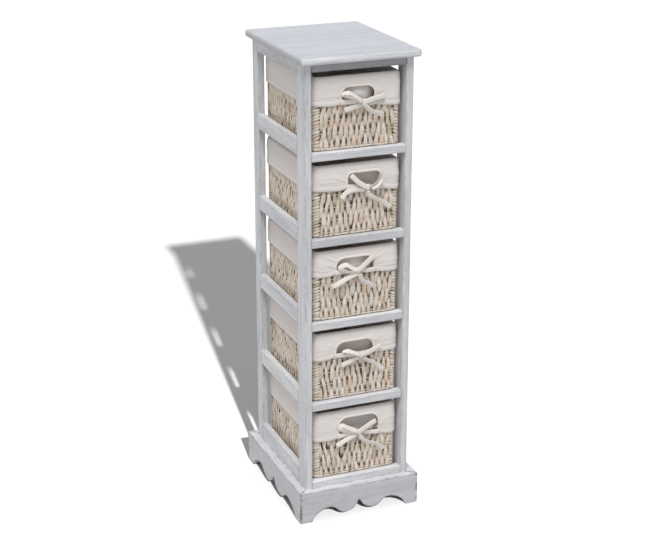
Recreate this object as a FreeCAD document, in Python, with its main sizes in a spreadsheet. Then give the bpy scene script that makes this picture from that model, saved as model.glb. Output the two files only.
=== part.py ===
import FreeCAD, Part
import math
import os
import re
import Sketcher
from FreeCAD import Placement, Rotation, Vector

# Tall basket shelf: a frame of four posts and six storeys of rails on a scalloped plinth, under a
# round-edged top board, with five lined woven baskets that slide out of the front.
# Millimetres. +Z is up, the front faces -Y, and the origin is on the floor under the middle.

BASKETS = 5
TOP_LEVEL = BASKETS
LOW_LEVEL = 0
LEFT, RIGHT = -1, 1
FRONT, BACK = -1, 1
X_AXIS, Y_AXIS, Z_AXIS = Vector(1, 0, 0), Vector(0, 1, 0), Vector(0, 0, 1)

SIZES = {
    # Posts
    "total_height": 980,
    "frame_width": 229,
    "frame_depth": 294,
    "post_width": 15,
    "front_post_depth": 42,
    "back_post_depth": 30,
    "post_foot_gap": 12,
    "post_round": 2,
    # Storeys of rails
    "first_rail_z": 67,
    "rail_height": 16.5,
    "rail_thickness": 18,
    "top_rail_height": 15.5,
    "side_rail_lift": 5.5,
    "side_rail_height": 32,
    "side_rail_thickness": 13,
    "top_side_rail_drop": 9,
    "rail_chamfer": 1.2,
    # Stub tenons that hold the rails in the posts
    "tenon_length": 9,
    "tenon_thickness": 6,
    "tenon_shoulder": 3,
    "tenon_clearance": 0.15,
    "mortise_end_gap": 1,
    # Strips that the baskets slide on
    "runner_width": 20,
    "runner_height": 11,
    # Top board
    "top_thickness": 15.5,
    "top_side_overhang": 12,
    "top_front_overhang": 13,
    "top_round": 6,
    # Plinth boards and their wavy lower edge
    "plinth_height": 69,
    "side_board_thickness": 18.5,
    "front_board_thickness": 16,
    "plinth_round": 2,
    "arch_height": 27,
    "bump_height": 9.4,
    "centre_height": 31.7,
    "arch_inner_radius": 22,
    "centre_radius": 4,
    "front_foot": 26,
    "front_arch_x": 67,
    "front_bump_x": 31,
    "side_foot": 31,
    "side_arch_x": 82,
    "side_bump_x": 38,
    # Countersunk screws
    "screw_length": 28,
    "screw_radius": 2,
    "screw_head_radius": 4,
    "screw_head_height": 2.5,
    "screw_bite": 10,
    "screw_clearance": 0.2,
    "top_screw_y": 70,
    # Basket in its bay
    "basket_side_gap": 5,
    "basket_setback": 9,
    "basket_back_gap": 14,
    "basket_headroom": 13,
    "basket_lift": 0.3,
    # Woven body
    "weave_wall": 6,
    "weave_floor": 6,
    "weave_corner": 14,
    "weave_foot": 4,
    "inner_chamfer": 3,
    "hole_width": 76,
    "hole_height": 27,
    "hole_drop": 18,
    "second_hole_x": 15,
    "fifth_hole_x": 7,
    # Stiffening frame of flat strip
    "strip_thickness": 2.5,
    "strip_height": 8,
    # Cotton liner
    "liner_thickness": 1.5,
    "cloth_gap": 0.3,
    "flap_height": 59,
    "notch_width": 84,
    "notch_margin": 3,
    "notch_round": 16,
    # Tie bow
    "bow_thickness": 3,
    "tape_width": 9,
    "tape_lap": 8,
    "knot_size": 12,
    "knot_drop": 10,
    "tail_length": 46,
    "loop_length": 34,
    "loop_height": 17,
}

# Sizes that follow from those above
DERIVED = {
    "frame_top": "total_height - top_thickness",
    "level_pitch": f"(frame_top - top_rail_height - first_rail_z) / {TOP_LEVEL}",
    "post_length": "frame_top - post_foot_gap",
    "rail_span": "frame_width - 2 * post_width",
    "side_rail_span": "frame_depth - front_post_depth - back_post_depth",
    "side_rail_y": "front_post_depth - frame_depth / 2",
    "top_side_rail_height": "top_rail_height + top_side_rail_drop",
    "low_side_rail_height": "side_rail_height + side_rail_lift",
    "plinth_width": "frame_width + 2 * side_board_thickness",
    "plinth_depth": "frame_depth + 2 * front_board_thickness",
    "screw_hole_radius": "screw_radius + screw_clearance",
    "screw_recess_radius": "screw_head_radius + screw_clearance",
    "basket_width": "rail_span - 2 * basket_side_gap",
    "basket_depth": "frame_depth - basket_setback - basket_back_gap",
    "basket_height": "level_pitch - rail_height - basket_lift - basket_headroom",
    "basket_y": "(basket_setback - basket_back_gap) / 2",
    "basket_front": "basket_y - basket_depth / 2",
    "liner_step": "liner_thickness + cloth_gap",
    "weave_width": "basket_width - 2 * liner_step",
    "weave_depth": "basket_depth - 2 * liner_step",
    "weave_height": "basket_height - liner_step",
    "weave_inner_width": "weave_width - 2 * weave_wall",
    "weave_inner_depth": "weave_depth - 2 * weave_wall",
    "strip_width": "weave_inner_width - 2 * cloth_gap",
    "strip_depth": "weave_inner_depth - 2 * cloth_gap",
    "strip_step": "strip_thickness + cloth_gap",
    "bag_width": "strip_width - 2 * strip_step",
    "bag_depth": "strip_depth - 2 * strip_step",
    "bag_inner_width": "bag_width - 2 * liner_thickness",
    "bag_inner_depth": "bag_depth - 2 * liner_thickness",
    "strip_inner_width": "strip_width - 2 * strip_thickness",
    "strip_inner_depth": "strip_depth - 2 * strip_thickness",
    "wall_reach": "liner_step + weave_wall + cloth_gap + strip_step + liner_thickness",
    "flap_corner": "weave_corner + liner_step",
    "flap_inner_corner": "weave_corner + cloth_gap",
    "hole_round": "hole_height * 9 / 20",
    "hole_bottom": "weave_height - hole_drop - hole_height",
    "notch_top": "weave_height - hole_drop + notch_margin",
    "bow_y": "basket_front - cloth_gap - bow_thickness",
}


def board_cells(board, half_length, neighbour):
    """A plinth board's half lengths, and its wave's arc sizes and meeting points, from the middle out."""
    arch_x = f"{board}_arch_x"
    bump_x = f"{board}_bump_x"
    rise = "(arch_height - bump_height)"
    peak = "(centre_height - bump_height)"
    run = f"({arch_x} - {bump_x})"
    foot_run = f"({board}_foot_x - {arch_x})"
    found = {
        "half": half_length,
        "inner_half": f"{half_length} - {neighbour}",
        "foot_x": f"{half_length} - {board}_foot",
        "foot_radius": f"({foot_run}^2 + arch_height^2) / (2 * arch_height)",
        "outer_sum": f"({run}^2 + {rise}^2) / (2 * {rise})",
        "inner_sum": f"({bump_x}^2 + {peak}^2) / (2 * {peak})",
        "outer_bump_radius": f"{board}_outer_sum - arch_inner_radius",
        "inner_bump_radius": f"{board}_inner_sum - centre_radius",
        "outer_meet_x": f"{arch_x} - arch_inner_radius * {run} / {board}_outer_sum",
        "outer_meet_z": f"arch_height - arch_inner_radius * {rise} / {board}_outer_sum",
        "inner_meet_x": f"centre_radius * {bump_x} / {board}_inner_sum",
        "inner_meet_z": f"centre_height - centre_radius * {peak} / {board}_inner_sum",
    }
    return {f"{board}_{name}": text for name, text in found.items()}


DERIVED.update(board_cells("front", "plinth_width / 2", "side_board_thickness"))
DERIVED.update(board_cells("side", "plinth_depth / 2", "front_board_thickness"))

doc = FreeCAD.newDocument("basket_shelf")
sheet = doc.addObject("Spreadsheet::Sheet", "sizes")


def fill_sheet():
    """Writes each driving size as a plain number and each size that follows as a formula."""
    rows = [(name, str(number)) for name, number in SIZES.items()]
    rows += [(name, "=" + text) for name, text in DERIVED.items()]
    for row, (name, content) in enumerate(rows, 1):
        sheet.set(f"A{row}", name)
        sheet.set(f"B{row}", content)
        sheet.setAlias(f"B{row}", name)
        doc.recompute()


fill_sheet()
NODES = {}


def mm(name):
    """A size's number, read from the sheet."""
    return float(sheet.get(name))


def cells(text):
    """An expression in which each size's name points at its cell."""
    known = set(SIZES) | set(DERIVED)
    return re.sub(r"[a-z_]+", lambda m: "sizes." + m.group() if m.group() in known else m.group(), text)


def bind(thing, **properties):
    """Ties properties to expressions."""
    for name, text in properties.items():
        thing.setExpression(name, cells(str(text)))


def place(thing, x=0, y=0, z=0, turn=None):
    """Ties a place to expressions, after an optional fixed turn."""
    if turn:
        thing.Placement = Placement(Vector(), turn)
    for axis, text in zip("xyz", (x, y, z)):
        thing.setExpression(f"Placement.Base.{axis}", cells(str(text)))
    return thing


def keep(thing, label):
    """Marks a finished sub-part, which its label names."""
    thing.Label = label
    NODES[label] = thing
    return thing


def box(name, size, corner):
    """A box from its size and lowest corner."""
    block = doc.addObject("Part::Box", name)
    bind(block, Length=size[0], Width=size[1], Height=size[2])
    return place(block, *corner)


def rod(name, radius, length, start, turn=None):
    """A cylinder that leaves its start along +Z, or along what the turn makes of it."""
    cylinder = doc.addObject("Part::Cylinder", name)
    bind(cylinder, Radius=radius, Height=length)
    return place(cylinder, *start, turn=turn)


def boolean(kind, name, base, tool):
    """The cut, fusion or common part of two things."""
    result = doc.addObject(f"Part::{kind}", name)
    result.Base = base
    result.Tool = tool
    return result


def together(kind, name, pieces):
    """Many pieces fused, or kept side by side as a group of separate solids."""
    result = doc.addObject(f"Part::{kind}", name)
    setattr(result, "Links" if kind == "Compound" else "Shapes", pieces)
    return result


SAME_HEIGHT = 1e-6


def along(*axes):
    """A test for straight edges that run along one of the axes."""
    def test(edge, shape):
        heading = edge.tangentAt(edge.FirstParameter)
        return any(abs(heading.dot(axis)) > 0.999 for axis in axes)
    return test


def every_edge(edge, shape):
    return True


def bottom_edges(edge, shape):
    return edge.BoundBox.ZMax < shape.BoundBox.ZMin + SAME_HEIGHT


def top_edges(edge, shape):
    return edge.BoundBox.ZMin > shape.BoundBox.ZMax - SAME_HEIGHT


def both(first, second):
    """A test for edges that pass two tests."""
    return lambda edge, shape: first(edge, shape) and second(edge, shape)


def ease(kind, name, base, *choices):
    """Rounds or chamfers the edges that each (test, size) pair picks."""
    base.recompute()
    eased = doc.addObject(f"Part::{kind}", name)
    eased.Base = base
    edges = []
    for index, edge in enumerate(base.Shape.Edges, 1):
        amount = next((mm(size) for test, size in choices if test(edge, base.Shape)), None)
        if amount:
            edges.append((index, amount, amount))
    eased.Edges = edges
    return eased


# Rails: a chamfered bar and a longer, thinner bar inside it whose ends are the stub tenons.

def across_rail(label, side, height, underside):
    """A front or back rail, flush with the posts' outer face."""
    edge_y = "-frame_depth / 2" if side == FRONT else "frame_depth / 2 - rail_thickness"
    bar = box(label + "_bar", ("rail_span", "rail_thickness", height), ("-rail_span / 2", edge_y, underside))
    bar = ease("Chamfer", label + "_eased", bar, (along(X_AXIS), "rail_chamfer"))
    tenon = box(
        label + "_tenon",
        ("rail_span + 2 * tenon_length", "tenon_thickness", f"{height} - 2 * tenon_shoulder"),
        ("-rail_span / 2 - tenon_length", f"{edge_y} + (rail_thickness - tenon_thickness) / 2",
         f"{underside} + tenon_shoulder"),
    )
    keep(boolean("Fuse", label + "_rail", bar, tenon), label)


def side_rail_x(side):
    """Where a side rail's lower X face lies, flush with the posts outside."""
    return "-frame_width / 2" if side == LEFT else "frame_width / 2 - side_rail_thickness"


def side_rail(label, side, height, underside, screwed=False):
    """A left or right rail, with two screw holes where it holds the top board."""
    edge_x = side_rail_x(side)
    bar = box(
        label + "_bar", ("side_rail_thickness", "side_rail_span", height),
        (edge_x, "side_rail_y", underside),
    )
    bar = ease("Chamfer", label + "_eased", bar, (along(Y_AXIS), "rail_chamfer"))
    tenon = box(
        label + "_tenon",
        ("tenon_thickness", "side_rail_span + 2 * tenon_length", f"{height} - 2 * tenon_shoulder"),
        (f"{edge_x} + (side_rail_thickness - tenon_thickness) / 2", "side_rail_y - tenon_length",
         f"{underside} + tenon_shoulder"),
    )
    rail = boolean("Fuse", label + "_rail", bar, tenon)
    if screwed:
        holes = [
            screw_hole(
                f"{label}_hole_{end}", f"{edge_x} + side_rail_thickness / 2", f"{end} * top_screw_y",
                underside, height,
            )
            for end in (FRONT, BACK)
        ]
        rail = boolean("Cut", label + "_drilled", rail, together("MultiFuse", label + "_holes", holes))
    keep(rail, label)


# Screws, which stand head down in the top side rails and bite into the top board by screw_bite.

def screw_hole(name, x, y, underside, carrier):
    """The clearance hole up through a carrier and the wider recess for the sunk head."""
    recess_depth = f"{carrier} + screw_bite - screw_length + screw_head_height + screw_clearance"
    shank = rod(name + "_shank", "screw_hole_radius", carrier, (x, y, underside))
    recess = rod(name + "_recess", "screw_recess_radius", recess_depth, (x, y, underside))
    return boolean("Fuse", name, shank, recess)


def pilot_hole(name, x, y, z):
    """The blind hole that the screw's tip goes into."""
    return rod(name, "screw_hole_radius", "screw_bite + screw_clearance", (x, y, z))


def screw(name, x, y, underside, carrier):
    """A countersunk screw, sunk so far that it bites screw_bite into the board over its carrier."""
    head_z = f"{underside} + {carrier} + screw_bite - screw_length"
    head = doc.addObject("Part::Cone", name + "_head")
    bind(head, Radius1="screw_head_radius", Radius2="screw_radius", Height="screw_head_height")
    place(head, x, y, head_z)
    shank_start = (x, y, f"{head_z} + screw_head_height")
    shank = rod(name + "_shank", "screw_radius", "screw_length - screw_head_height", shank_start)
    return boolean("Fuse", name, head, shank)


# Posts: a round-edged bar with a mortise for every rail.

def post_x(side):
    return f"{side} * (frame_width - post_width) / 2"


def post_depth(end):
    return "front_post_depth" if end == FRONT else "back_post_depth"


def level_z(level):
    """Underside of a storey's front and back rails."""
    return f"(first_rail_z + {level} * level_pitch)"


def side_level_z(level):
    """Underside of a storey's side rails: the lowest ones reach down behind the plinth's edge."""
    if level == TOP_LEVEL:
        return "(frame_top - top_side_rail_height)"
    if level == LOW_LEVEL:
        return level_z(level)
    return f"({level_z(level)} + side_rail_lift)"


def rail_height(level):
    return "top_rail_height" if level == TOP_LEVEL else "rail_height"


def side_rail_height(level):
    return {TOP_LEVEL: "top_side_rail_height", LOW_LEVEL: "low_side_rail_height"}.get(level, "side_rail_height")


def mortise(name, width, depth, height, middle_x, middle_y, underside):
    """A pocket for one tenon, with clearance round it."""
    tall = f"({height} - 2 * tenon_shoulder + 2 * tenon_clearance)"
    return box(
        name, (width, depth, tall),
        (f"{middle_x} - ({width}) / 2", f"{middle_y} - ({depth}) / 2",
         f"{underside} + tenon_shoulder - tenon_clearance"),
    )


def post(label, side, end):
    """One upright of the frame."""
    depth = post_depth(end)
    bar = box(
        label + "_bar", ("post_width", depth, "post_length"),
        (f"{post_x(side)} - post_width / 2", f"{end} * (frame_depth - {depth}) / 2 - {depth} / 2",
         "post_foot_gap"),
    )
    bar = ease("Fillet", label + "_rounded", bar, (along(Z_AXIS), "post_round"))
    pocket_width = "(tenon_thickness + 2 * tenon_clearance)"
    pocket_depth = "(tenon_length + mortise_end_gap)"
    tools = []
    for level in range(TOP_LEVEL + 1):
        tools.append(mortise(
            f"{label}_across_{level}", pocket_depth, pocket_width, rail_height(level),
            f"{side} * (frame_width / 2 - post_width + {pocket_depth} / 2)",
            f"{end} * (frame_depth / 2 - rail_thickness / 2)", level_z(level)))
        tools.append(mortise(
            f"{label}_along_{level}", pocket_width, pocket_depth, side_rail_height(level),
            f"{side} * (frame_width / 2 - side_rail_thickness / 2)",
            f"{end} * (frame_depth / 2 - {depth} + {pocket_depth} / 2)", side_level_z(level)))
    keep(boolean("Cut", label + "_post", bar, together("MultiFuse", label + "_pockets", tools)), label)


# Plinth boards: a mitred plan, padded to the board's height, with the wavy waste pocketed away.

def origin_plane(body, role):
    """One of a body's own base planes."""
    return next(plane for plane in body.Origin.OriginFeatures if plane.Role == role)


def sketch_on(body, name, role):
    """An empty sketch on one of the body's base planes."""
    sketch = body.newObject("Sketcher::SketchObject", name)
    sketch.AttachmentSupport = [(origin_plane(body, role), "")]
    sketch.MapMode = "FlatFace"
    return sketch


def pin_point(sketch, point, x, y):
    """Holds a sketch point at a signed (sign, size) pair each way; a sign of 0 puts it on the X axis."""
    x_axis = -1
    origin = (x_axis, 1)
    for kind, (sign, size) in (("DistanceX", x), ("DistanceY", y)):
        if sign == 0:
            sketch.addConstraint(Sketcher.Constraint("PointOnObject", *point, x_axis))
            continue
        ends = (*origin, *point) if sign > 0 else (*point, *origin)
        index = sketch.addConstraint(Sketcher.Constraint(kind, *ends, mm(size)))
        sketch.setExpression(f"Constraints[{index}]", cells(size))


def signed(pair):
    sign, size = pair
    return sign * mm(size) if sign else 0.0


def at(corner):
    """A corner's numbers, as a point of the sketch."""
    return Vector(signed(corner[0]), signed(corner[1]), 0)


def arc_between(start, end, radius, hollow):
    """The short arc from start to end; a hollow one bows upwards and a full one downwards."""
    middle = (start + end) / 2
    half = (end - start) / 2
    rise = math.sqrt(radius ** 2 - half.Length ** 2)
    upward = Vector(-half.y, half.x, 0).normalize()
    centre = middle - upward * rise if hollow else middle + upward * rise
    crown = centre + upward * (radius if hollow else -radius)
    return Part.Arc(start, crown, end)


def closed_outline(sketch, corners, arcs):
    """Lines or arcs from corner to corner and back, held at the corners and by the arcs' radii."""
    count = len(corners)
    for index in range(count):
        start, end = at(corners[index]), at(corners[(index + 1) % count])
        if index in arcs:
            size, hollow = arcs[index]
            sketch.addGeometry(arc_between(start, end, mm(size), hollow))
        else:
            sketch.addGeometry(Part.LineSegment(start, end))
    for index in range(count):
        joint = (index, near_end(sketch, index, at(corners[(index + 1) % count])))
        following = (index + 1) % count
        start = (following, near_end(sketch, following, at(corners[following])))
        sketch.addConstraint(Sketcher.Constraint("Coincident", *joint, *start))
    for index, corner in enumerate(corners):
        pin_point(sketch, (index, near_end(sketch, index, at(corner))), *corner)
    for index, (size, hollow) in arcs.items():
        constraint = sketch.addConstraint(Sketcher.Constraint("Radius", index, mm(size)))
        sketch.setExpression(f"Constraints[{constraint}]", cells(size))


def near_end(sketch, index, point):
    """Which end of a sketch curve lies at a point: 1 for its start, or 2 for its end."""
    return min((1, 2), key=lambda end: (sketch.getPoint(index, end) - point).Length)


def scallop_outline(sketch, board):
    """Foot, broad arch, bump, pointed middle arch, bump, broad arch, foot, and back along the floor."""
    half = [
        (f"{board}_foot_x", None),
        (f"{board}_arch_x", "arch_height"),
        (f"{board}_outer_meet_x", f"{board}_outer_meet_z"),
        (f"{board}_bump_x", "bump_height"),
        (f"{board}_inner_meet_x", f"{board}_inner_meet_z"),
    ]

    def corner(sign, x, z):
        return ((sign, x), (1, z) if z else (0, None))

    corners = [corner(-1, x, z) for x, z in half] + [corner(1, x, z) for x, z in reversed(half)]
    left = [
        (f"{board}_foot_radius", True),
        ("arch_inner_radius", True),
        (f"{board}_outer_bump_radius", False),
        (f"{board}_inner_bump_radius", False),
    ]
    arcs = dict(enumerate(left + [("centre_radius", True)] + left[::-1]))
    closed_outline(sketch, corners, arcs)


def longest_edges(edge, shape):
    return edge.Length > max(other.Length for other in shape.Edges) - SAME_HEIGHT


def plinth_board(label, board, thickness, x, y, quarter_turns):
    """One board, drawn with its outer face on its own XZ plane and turned to its side of the plinth."""
    body = doc.addObject("PartDesign::Body", label + "_board")
    plan = sketch_on(body, label + "_plan", "XY_Plane")
    outer, inner = f"{board}_half", f"{board}_inner_half"
    closed_outline(plan, [
        ((-1, outer), (0, None)), ((1, outer), (0, None)),
        ((1, inner), (1, thickness)), ((-1, inner), (1, thickness)),
    ], {})
    pad = body.newObject("PartDesign::Pad", label + "_pad")
    pad.Profile = plan
    bind(pad, Length="plinth_height")
    wave = sketch_on(body, label + "_wave", "XZ_Plane")
    scallop_outline(wave, board)
    doc.recompute()
    uncut = body.Shape.Volume
    pocket = body.newObject("PartDesign::Pocket", label + "_scallop")
    pocket.Profile = wave
    pocket.Type = "ThroughAll"
    place(body, x, y, turn=Rotation(Z_AXIS, 90 * quarter_turns))
    doc.recompute()
    if body.Shape.Volume > uncut - 1:
        raise ValueError(f"the wave of {label} cuts nothing")
    keep(ease("Fillet", label + "_rounded", body, (both(longest_edges, top_edges), "plinth_round")), label)


def make_plinth():
    """Four boards glued round the posts' feet, mitred at the corners."""
    for end, name, turns in ((FRONT, "front", 0), (BACK, "back", 2)):
        y = f"{end} * plinth_depth / 2"
        plinth_board("plinth_" + name, "front", "front_board_thickness", 0, y, turns)
    for side, name, turns in ((LEFT, "left", 3), (RIGHT, "right", 1)):
        x = f"{side} * plinth_width / 2"
        plinth_board("plinth_" + name, "side", "side_board_thickness", x, 0, turns)


def top_screw_spots():
    """Where the top side rails are drilled from below."""
    return [
        (f"{side_rail_x(side)} + side_rail_thickness / 2", f"{end} * top_screw_y")
        for side in (LEFT, RIGHT) for end in (FRONT, BACK)
    ]


def make_top():
    """The round-edged board on the posts, with blind holes for its four screws."""
    board = box(
        "top_block",
        ("frame_width + 2 * top_side_overhang", "frame_depth + 2 * top_front_overhang", "top_thickness"),
        ("-frame_width / 2 - top_side_overhang", "-frame_depth / 2 - top_front_overhang", "frame_top"),
    )
    board = ease("Fillet", "top_rounded", board, (every_edge, "top_round"))
    holes = [
        pilot_hole(f"top_pilot_{index}", x, y, "frame_top")
        for index, (x, y) in enumerate(top_screw_spots())
    ]
    keep(boolean("Cut", "top_drilled", board, together("MultiFuse", "top_pilots", holes)), "top_board")


def make_screws():
    """Four screws up into the top board, all alike."""
    underside = side_level_z(TOP_LEVEL)
    screws = [
        screw(f"top_screw_{index}", x, y, underside, "top_side_rail_height")
        for index, (x, y) in enumerate(top_screw_spots())
    ]
    keep(together("Compound", "screw_group", screws), "wood_screws")


def make_frame():
    """Posts, six storeys of rails and the strips that carry the baskets."""
    for end, end_name in ((FRONT, "front"), (BACK, "back")):
        for side, side_name in ((LEFT, "left"), (RIGHT, "right")):
            post(f"post_{end_name}_{side_name}", side, end)
    for level in range(TOP_LEVEL + 1):
        for end, name in ((FRONT, "front"), (BACK, "back")):
            across_rail(f"{name}_rail_{level}", end, rail_height(level), level_z(level))
        for side, name in ((LEFT, "left"), (RIGHT, "right")):
            side_rail(
                f"{name}_rail_{level}", side, side_rail_height(level), side_level_z(level), level == TOP_LEVEL
            )
    for basket in range(1, BASKETS + 1):
        runners(f"runners_{basket}", BASKETS - basket)


def runners(label, level):
    """A pair of strips on the side rails, level with the tops of the front and back rails."""
    z = f"{level_z(level)} + rail_height - runner_height"
    inner = "(frame_width / 2 - side_rail_thickness)"
    size = ("runner_width", "side_rail_span", "runner_height")
    strips = [
        box(f"{label}_{name}", size, (x, "side_rail_y", z))
        for name, x in (("left", f"-{inner}"), ("right", f"{inner} - runner_width"))
    ]
    keep(together("Compound", label + "_pair", strips), label)


# Baskets. Every wall is a block less a smaller one, all round the same middle line.

TOOL_OVERRUN = 1

# Hand holes that lie beside the middle of their basket
HOLE_SHIFTS = {2: "second_hole_x", 5: "fifth_hole_x"}


def centred_block(name, kind, width, depth, height, z, corner):
    """A block centred in the basket's bay, with its uprights rounded or chamfered."""
    block = box(name + "_block", (width, depth, height), (f"-({width}) / 2", f"basket_y - ({depth}) / 2", z))
    return ease(kind, name, block, (along(Z_AXIS), corner))


def hand_hole(name, hole_x, z):
    """The long round-ended cut through every layer of a basket's front wall."""
    block = box(
        name + "_block", ("hole_width", f"wall_reach + {2 * TOOL_OVERRUN}", "hole_height"),
        (f"{hole_x} - hole_width / 2", f"basket_front - {TOOL_OVERRUN}", f"{z} + hole_bottom"),
    )
    return ease("Fillet", name, block, (along(Y_AXIS), "hole_round"))


def woven_body(label, z, hole):
    """An open box with a floor, rounded uprights and a drawn-in foot."""
    outer = centred_block(
        label + "_outer", "Fillet", "weave_width", "weave_depth", "weave_height", z, "weave_corner"
    )
    outer = ease("Chamfer", label + "_footed", outer, (bottom_edges, "weave_foot"))
    inner = centred_block(
        label + "_inner", "Chamfer", "weave_inner_width", "weave_inner_depth",
        f"weave_height - weave_floor + {TOOL_OVERRUN}", f"{z} + weave_floor", "inner_chamfer",
    )
    cuts = together("MultiFuse", label + "_cuts", [inner, hole])
    keep(boolean("Cut", label + "_body", outer, cuts), label)


def strip_ring(name, z):
    """A flat strip that runs once round inside the weave."""
    outer = centred_block(
        name + "_outer", "Chamfer", "strip_width", "strip_depth", "strip_height", z, "inner_chamfer"
    )
    inner = centred_block(
        name + "_inner", "Chamfer", "strip_inner_width", "strip_inner_depth",
        f"strip_height + {2 * TOOL_OVERRUN}", f"{z} - {TOOL_OVERRUN}", "inner_chamfer",
    )
    return boolean("Cut", name, outer, inner)


def strip_frame(label, hole_x, z):
    """A rim ring and a floor ring, joined by uprights on both sides of the hand hole and opposite."""
    floor_z = f"{z} + weave_floor + cloth_gap"
    rim = strip_ring(label + "_rim", f"{z} + weave_height - strip_height")
    floor = strip_ring(label + "_floor", floor_z)
    upright_size = ("strip_height", "strip_thickness", "weave_height - weave_floor - cloth_gap")
    uprights = []
    for side in (LEFT, RIGHT):
        for y in ("basket_y - strip_depth / 2", "basket_y + strip_depth / 2 - strip_thickness"):
            middle = f"({hole_x} + {side} * (hole_width / 2 + strip_width / 2 - inner_chamfer)) / 2"
            corner = (f"{middle} - strip_height / 2", y, floor_z)
            uprights.append(box(f"{label}_upright_{len(uprights)}", upright_size, corner))
    keep(together("MultiFuse", label + "_welded", [rim, floor, *uprights]), label)


def cotton_liner(label, hole_x, z, hole):
    """A bag that lines the basket and turns down over the rim, notched round the hand hole."""
    flap_z = f"({z} + basket_height - flap_height)"
    flap = centred_block(
        label + "_flap", "Fillet", "basket_width", "basket_depth", "flap_height", flap_z, "flap_corner"
    )
    under_flap = centred_block(
        label + "_under", "Fillet", "weave_width + 2 * cloth_gap", "weave_depth + 2 * cloth_gap",
        f"flap_height - liner_thickness + {TOOL_OVERRUN}", f"{flap_z} - {TOOL_OVERRUN}", "flap_inner_corner",
    )
    fold = boolean("Cut", label + "_fold", flap, under_flap)
    bag_z = f"({z} + weave_floor + cloth_gap)"
    bag_height = "(basket_height - weave_floor - cloth_gap)"
    bag = centred_block(
        label + "_bag", "Chamfer", "bag_width", "bag_depth", bag_height, bag_z, "inner_chamfer"
    )
    hollow = centred_block(
        label + "_hollow", "Chamfer", "bag_inner_width", "bag_inner_depth",
        f"{bag_height} - liner_thickness + {TOOL_OVERRUN}", f"{bag_z} + liner_thickness", "inner_chamfer",
    )
    notch_height = f"notch_top - basket_height + flap_height + {TOOL_OVERRUN}"
    notch = box(
        label + "_notch_block", ("notch_width", f"liner_step + {TOOL_OVERRUN}", notch_height),
        (f"{hole_x} - notch_width / 2", f"basket_front - {TOOL_OVERRUN}", f"{flap_z} - {TOOL_OVERRUN}"),
    )
    notch = ease("Fillet", label + "_notch", notch, (both(along(Y_AXIS), top_edges), "notch_round"))
    sewn = boolean("Fuse", label + "_sewn", fold, bag)
    cuts = together("MultiFuse", label + "_cuts", [hollow, hole, notch])
    keep(boolean("Cut", label + "_cloth", sewn, cuts), label)


TAIL_ANGLES = (145, -145)
LOOP_ANGLES = (95, -95)


def tape_run(name, width, length, knot_x, knot_z, angle):
    """A flat run of tape that leaves the knot at an angle from straight up."""
    run = doc.addObject("Part::Box", name)
    bind(run, Length=width, Width="bow_thickness", Height=length)
    across = math.cos(math.radians(angle))
    down = math.sin(math.radians(angle))
    x = f"{knot_x} - ({across:.4f}) * {width} / 2"
    return place(run, x, "bow_y", f"{knot_z} + ({down:.4f}) * {width} / 2", turn=Rotation(Y_AXIS, angle))


def tie_bow(label, hole_x, z):
    """Tape that crosses the notch from hem to hem, tied in a bow of a knot, two loops and two tails."""
    knot_z = f"({z} + hole_bottom - knot_drop)"
    knot = box(
        label + "_knot", ("knot_size", "bow_thickness", "knot_size"),
        (f"{hole_x} - knot_size / 2", "bow_y", f"{knot_z} - knot_size / 2"),
    )
    drawstring = box(
        label + "_drawstring", ("notch_width + 2 * tape_lap", "bow_thickness", "tape_width"),
        (f"{hole_x} - notch_width / 2 - tape_lap", "bow_y", f"{knot_z} - tape_width / 2"),
    )
    runs = [knot, drawstring]
    for angle in TAIL_ANGLES:
        name = f"{label}_tail_{len(runs)}"
        runs.append(tape_run(name, "tape_width", "tail_length", hole_x, knot_z, angle))
    for angle in LOOP_ANGLES:
        name = f"{label}_loop_{len(runs)}"
        runs.append(tape_run(name, "loop_height", "loop_length", hole_x, knot_z, angle))
    keep(together("MultiFuse", label + "_tied", runs), label)


def make_baskets():
    """Five baskets, numbered from the top, each just clear of its runners."""
    for basket in range(1, BASKETS + 1):
        name = f"basket_{basket}"
        z = f"({level_z(BASKETS - basket)} + rail_height + basket_lift)"
        hole_x = HOLE_SHIFTS.get(basket, "0")
        hole = hand_hole(name + "_hand_hole", hole_x, z)
        woven_body(name + "_weave", z, hole)
        strip_frame(name + "_strip_frame", hole_x, z)
        cotton_liner(name + "_liner", hole_x, z, hole)
        tie_bow(name + "_tie_bow", hole_x, z)


def check_model():
    """Stops on a failed feature or a bad shape."""
    for thing in doc.Objects:
        if {"Invalid", "Error"} & set(thing.State):
            raise ValueError(f"{thing.Name} failed: {thing.State}")
    for label, thing in NODES.items():
        if thing.Shape.isNull() or not thing.Shape.isValid() or not thing.Shape.Solids:
            raise ValueError(f"{label} has no good shape")


def write_parts():
    """One file per sub-part."""
    os.makedirs("parts", exist_ok=True)
    for label, thing in NODES.items():
        thing.Shape.exportStep(os.path.join("parts", label + ".step"))
    print(len(NODES), "sub-parts written")


make_top()
make_plinth()
make_frame()
make_screws()
make_baskets()
doc.recompute()
check_model()
write_parts()
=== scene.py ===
# %% [markdown]
# # A whitewashed shelf with five husk baskets
# The shelf is a light wooden tower: four posts, thin rails, a wavy plinth and a round-edged top board.
# Five woven baskets slide in it, each lined with cotton that is turned down over the rim and tied with
# a tape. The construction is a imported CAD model. It is loaded first and stays where it is: this lesson
# gives the wood its finish, and weaves, sews and ties the soft pieces in the places that the model
# keeps for them.

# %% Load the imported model
import math
import random

import bpy
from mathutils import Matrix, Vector, noise


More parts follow.
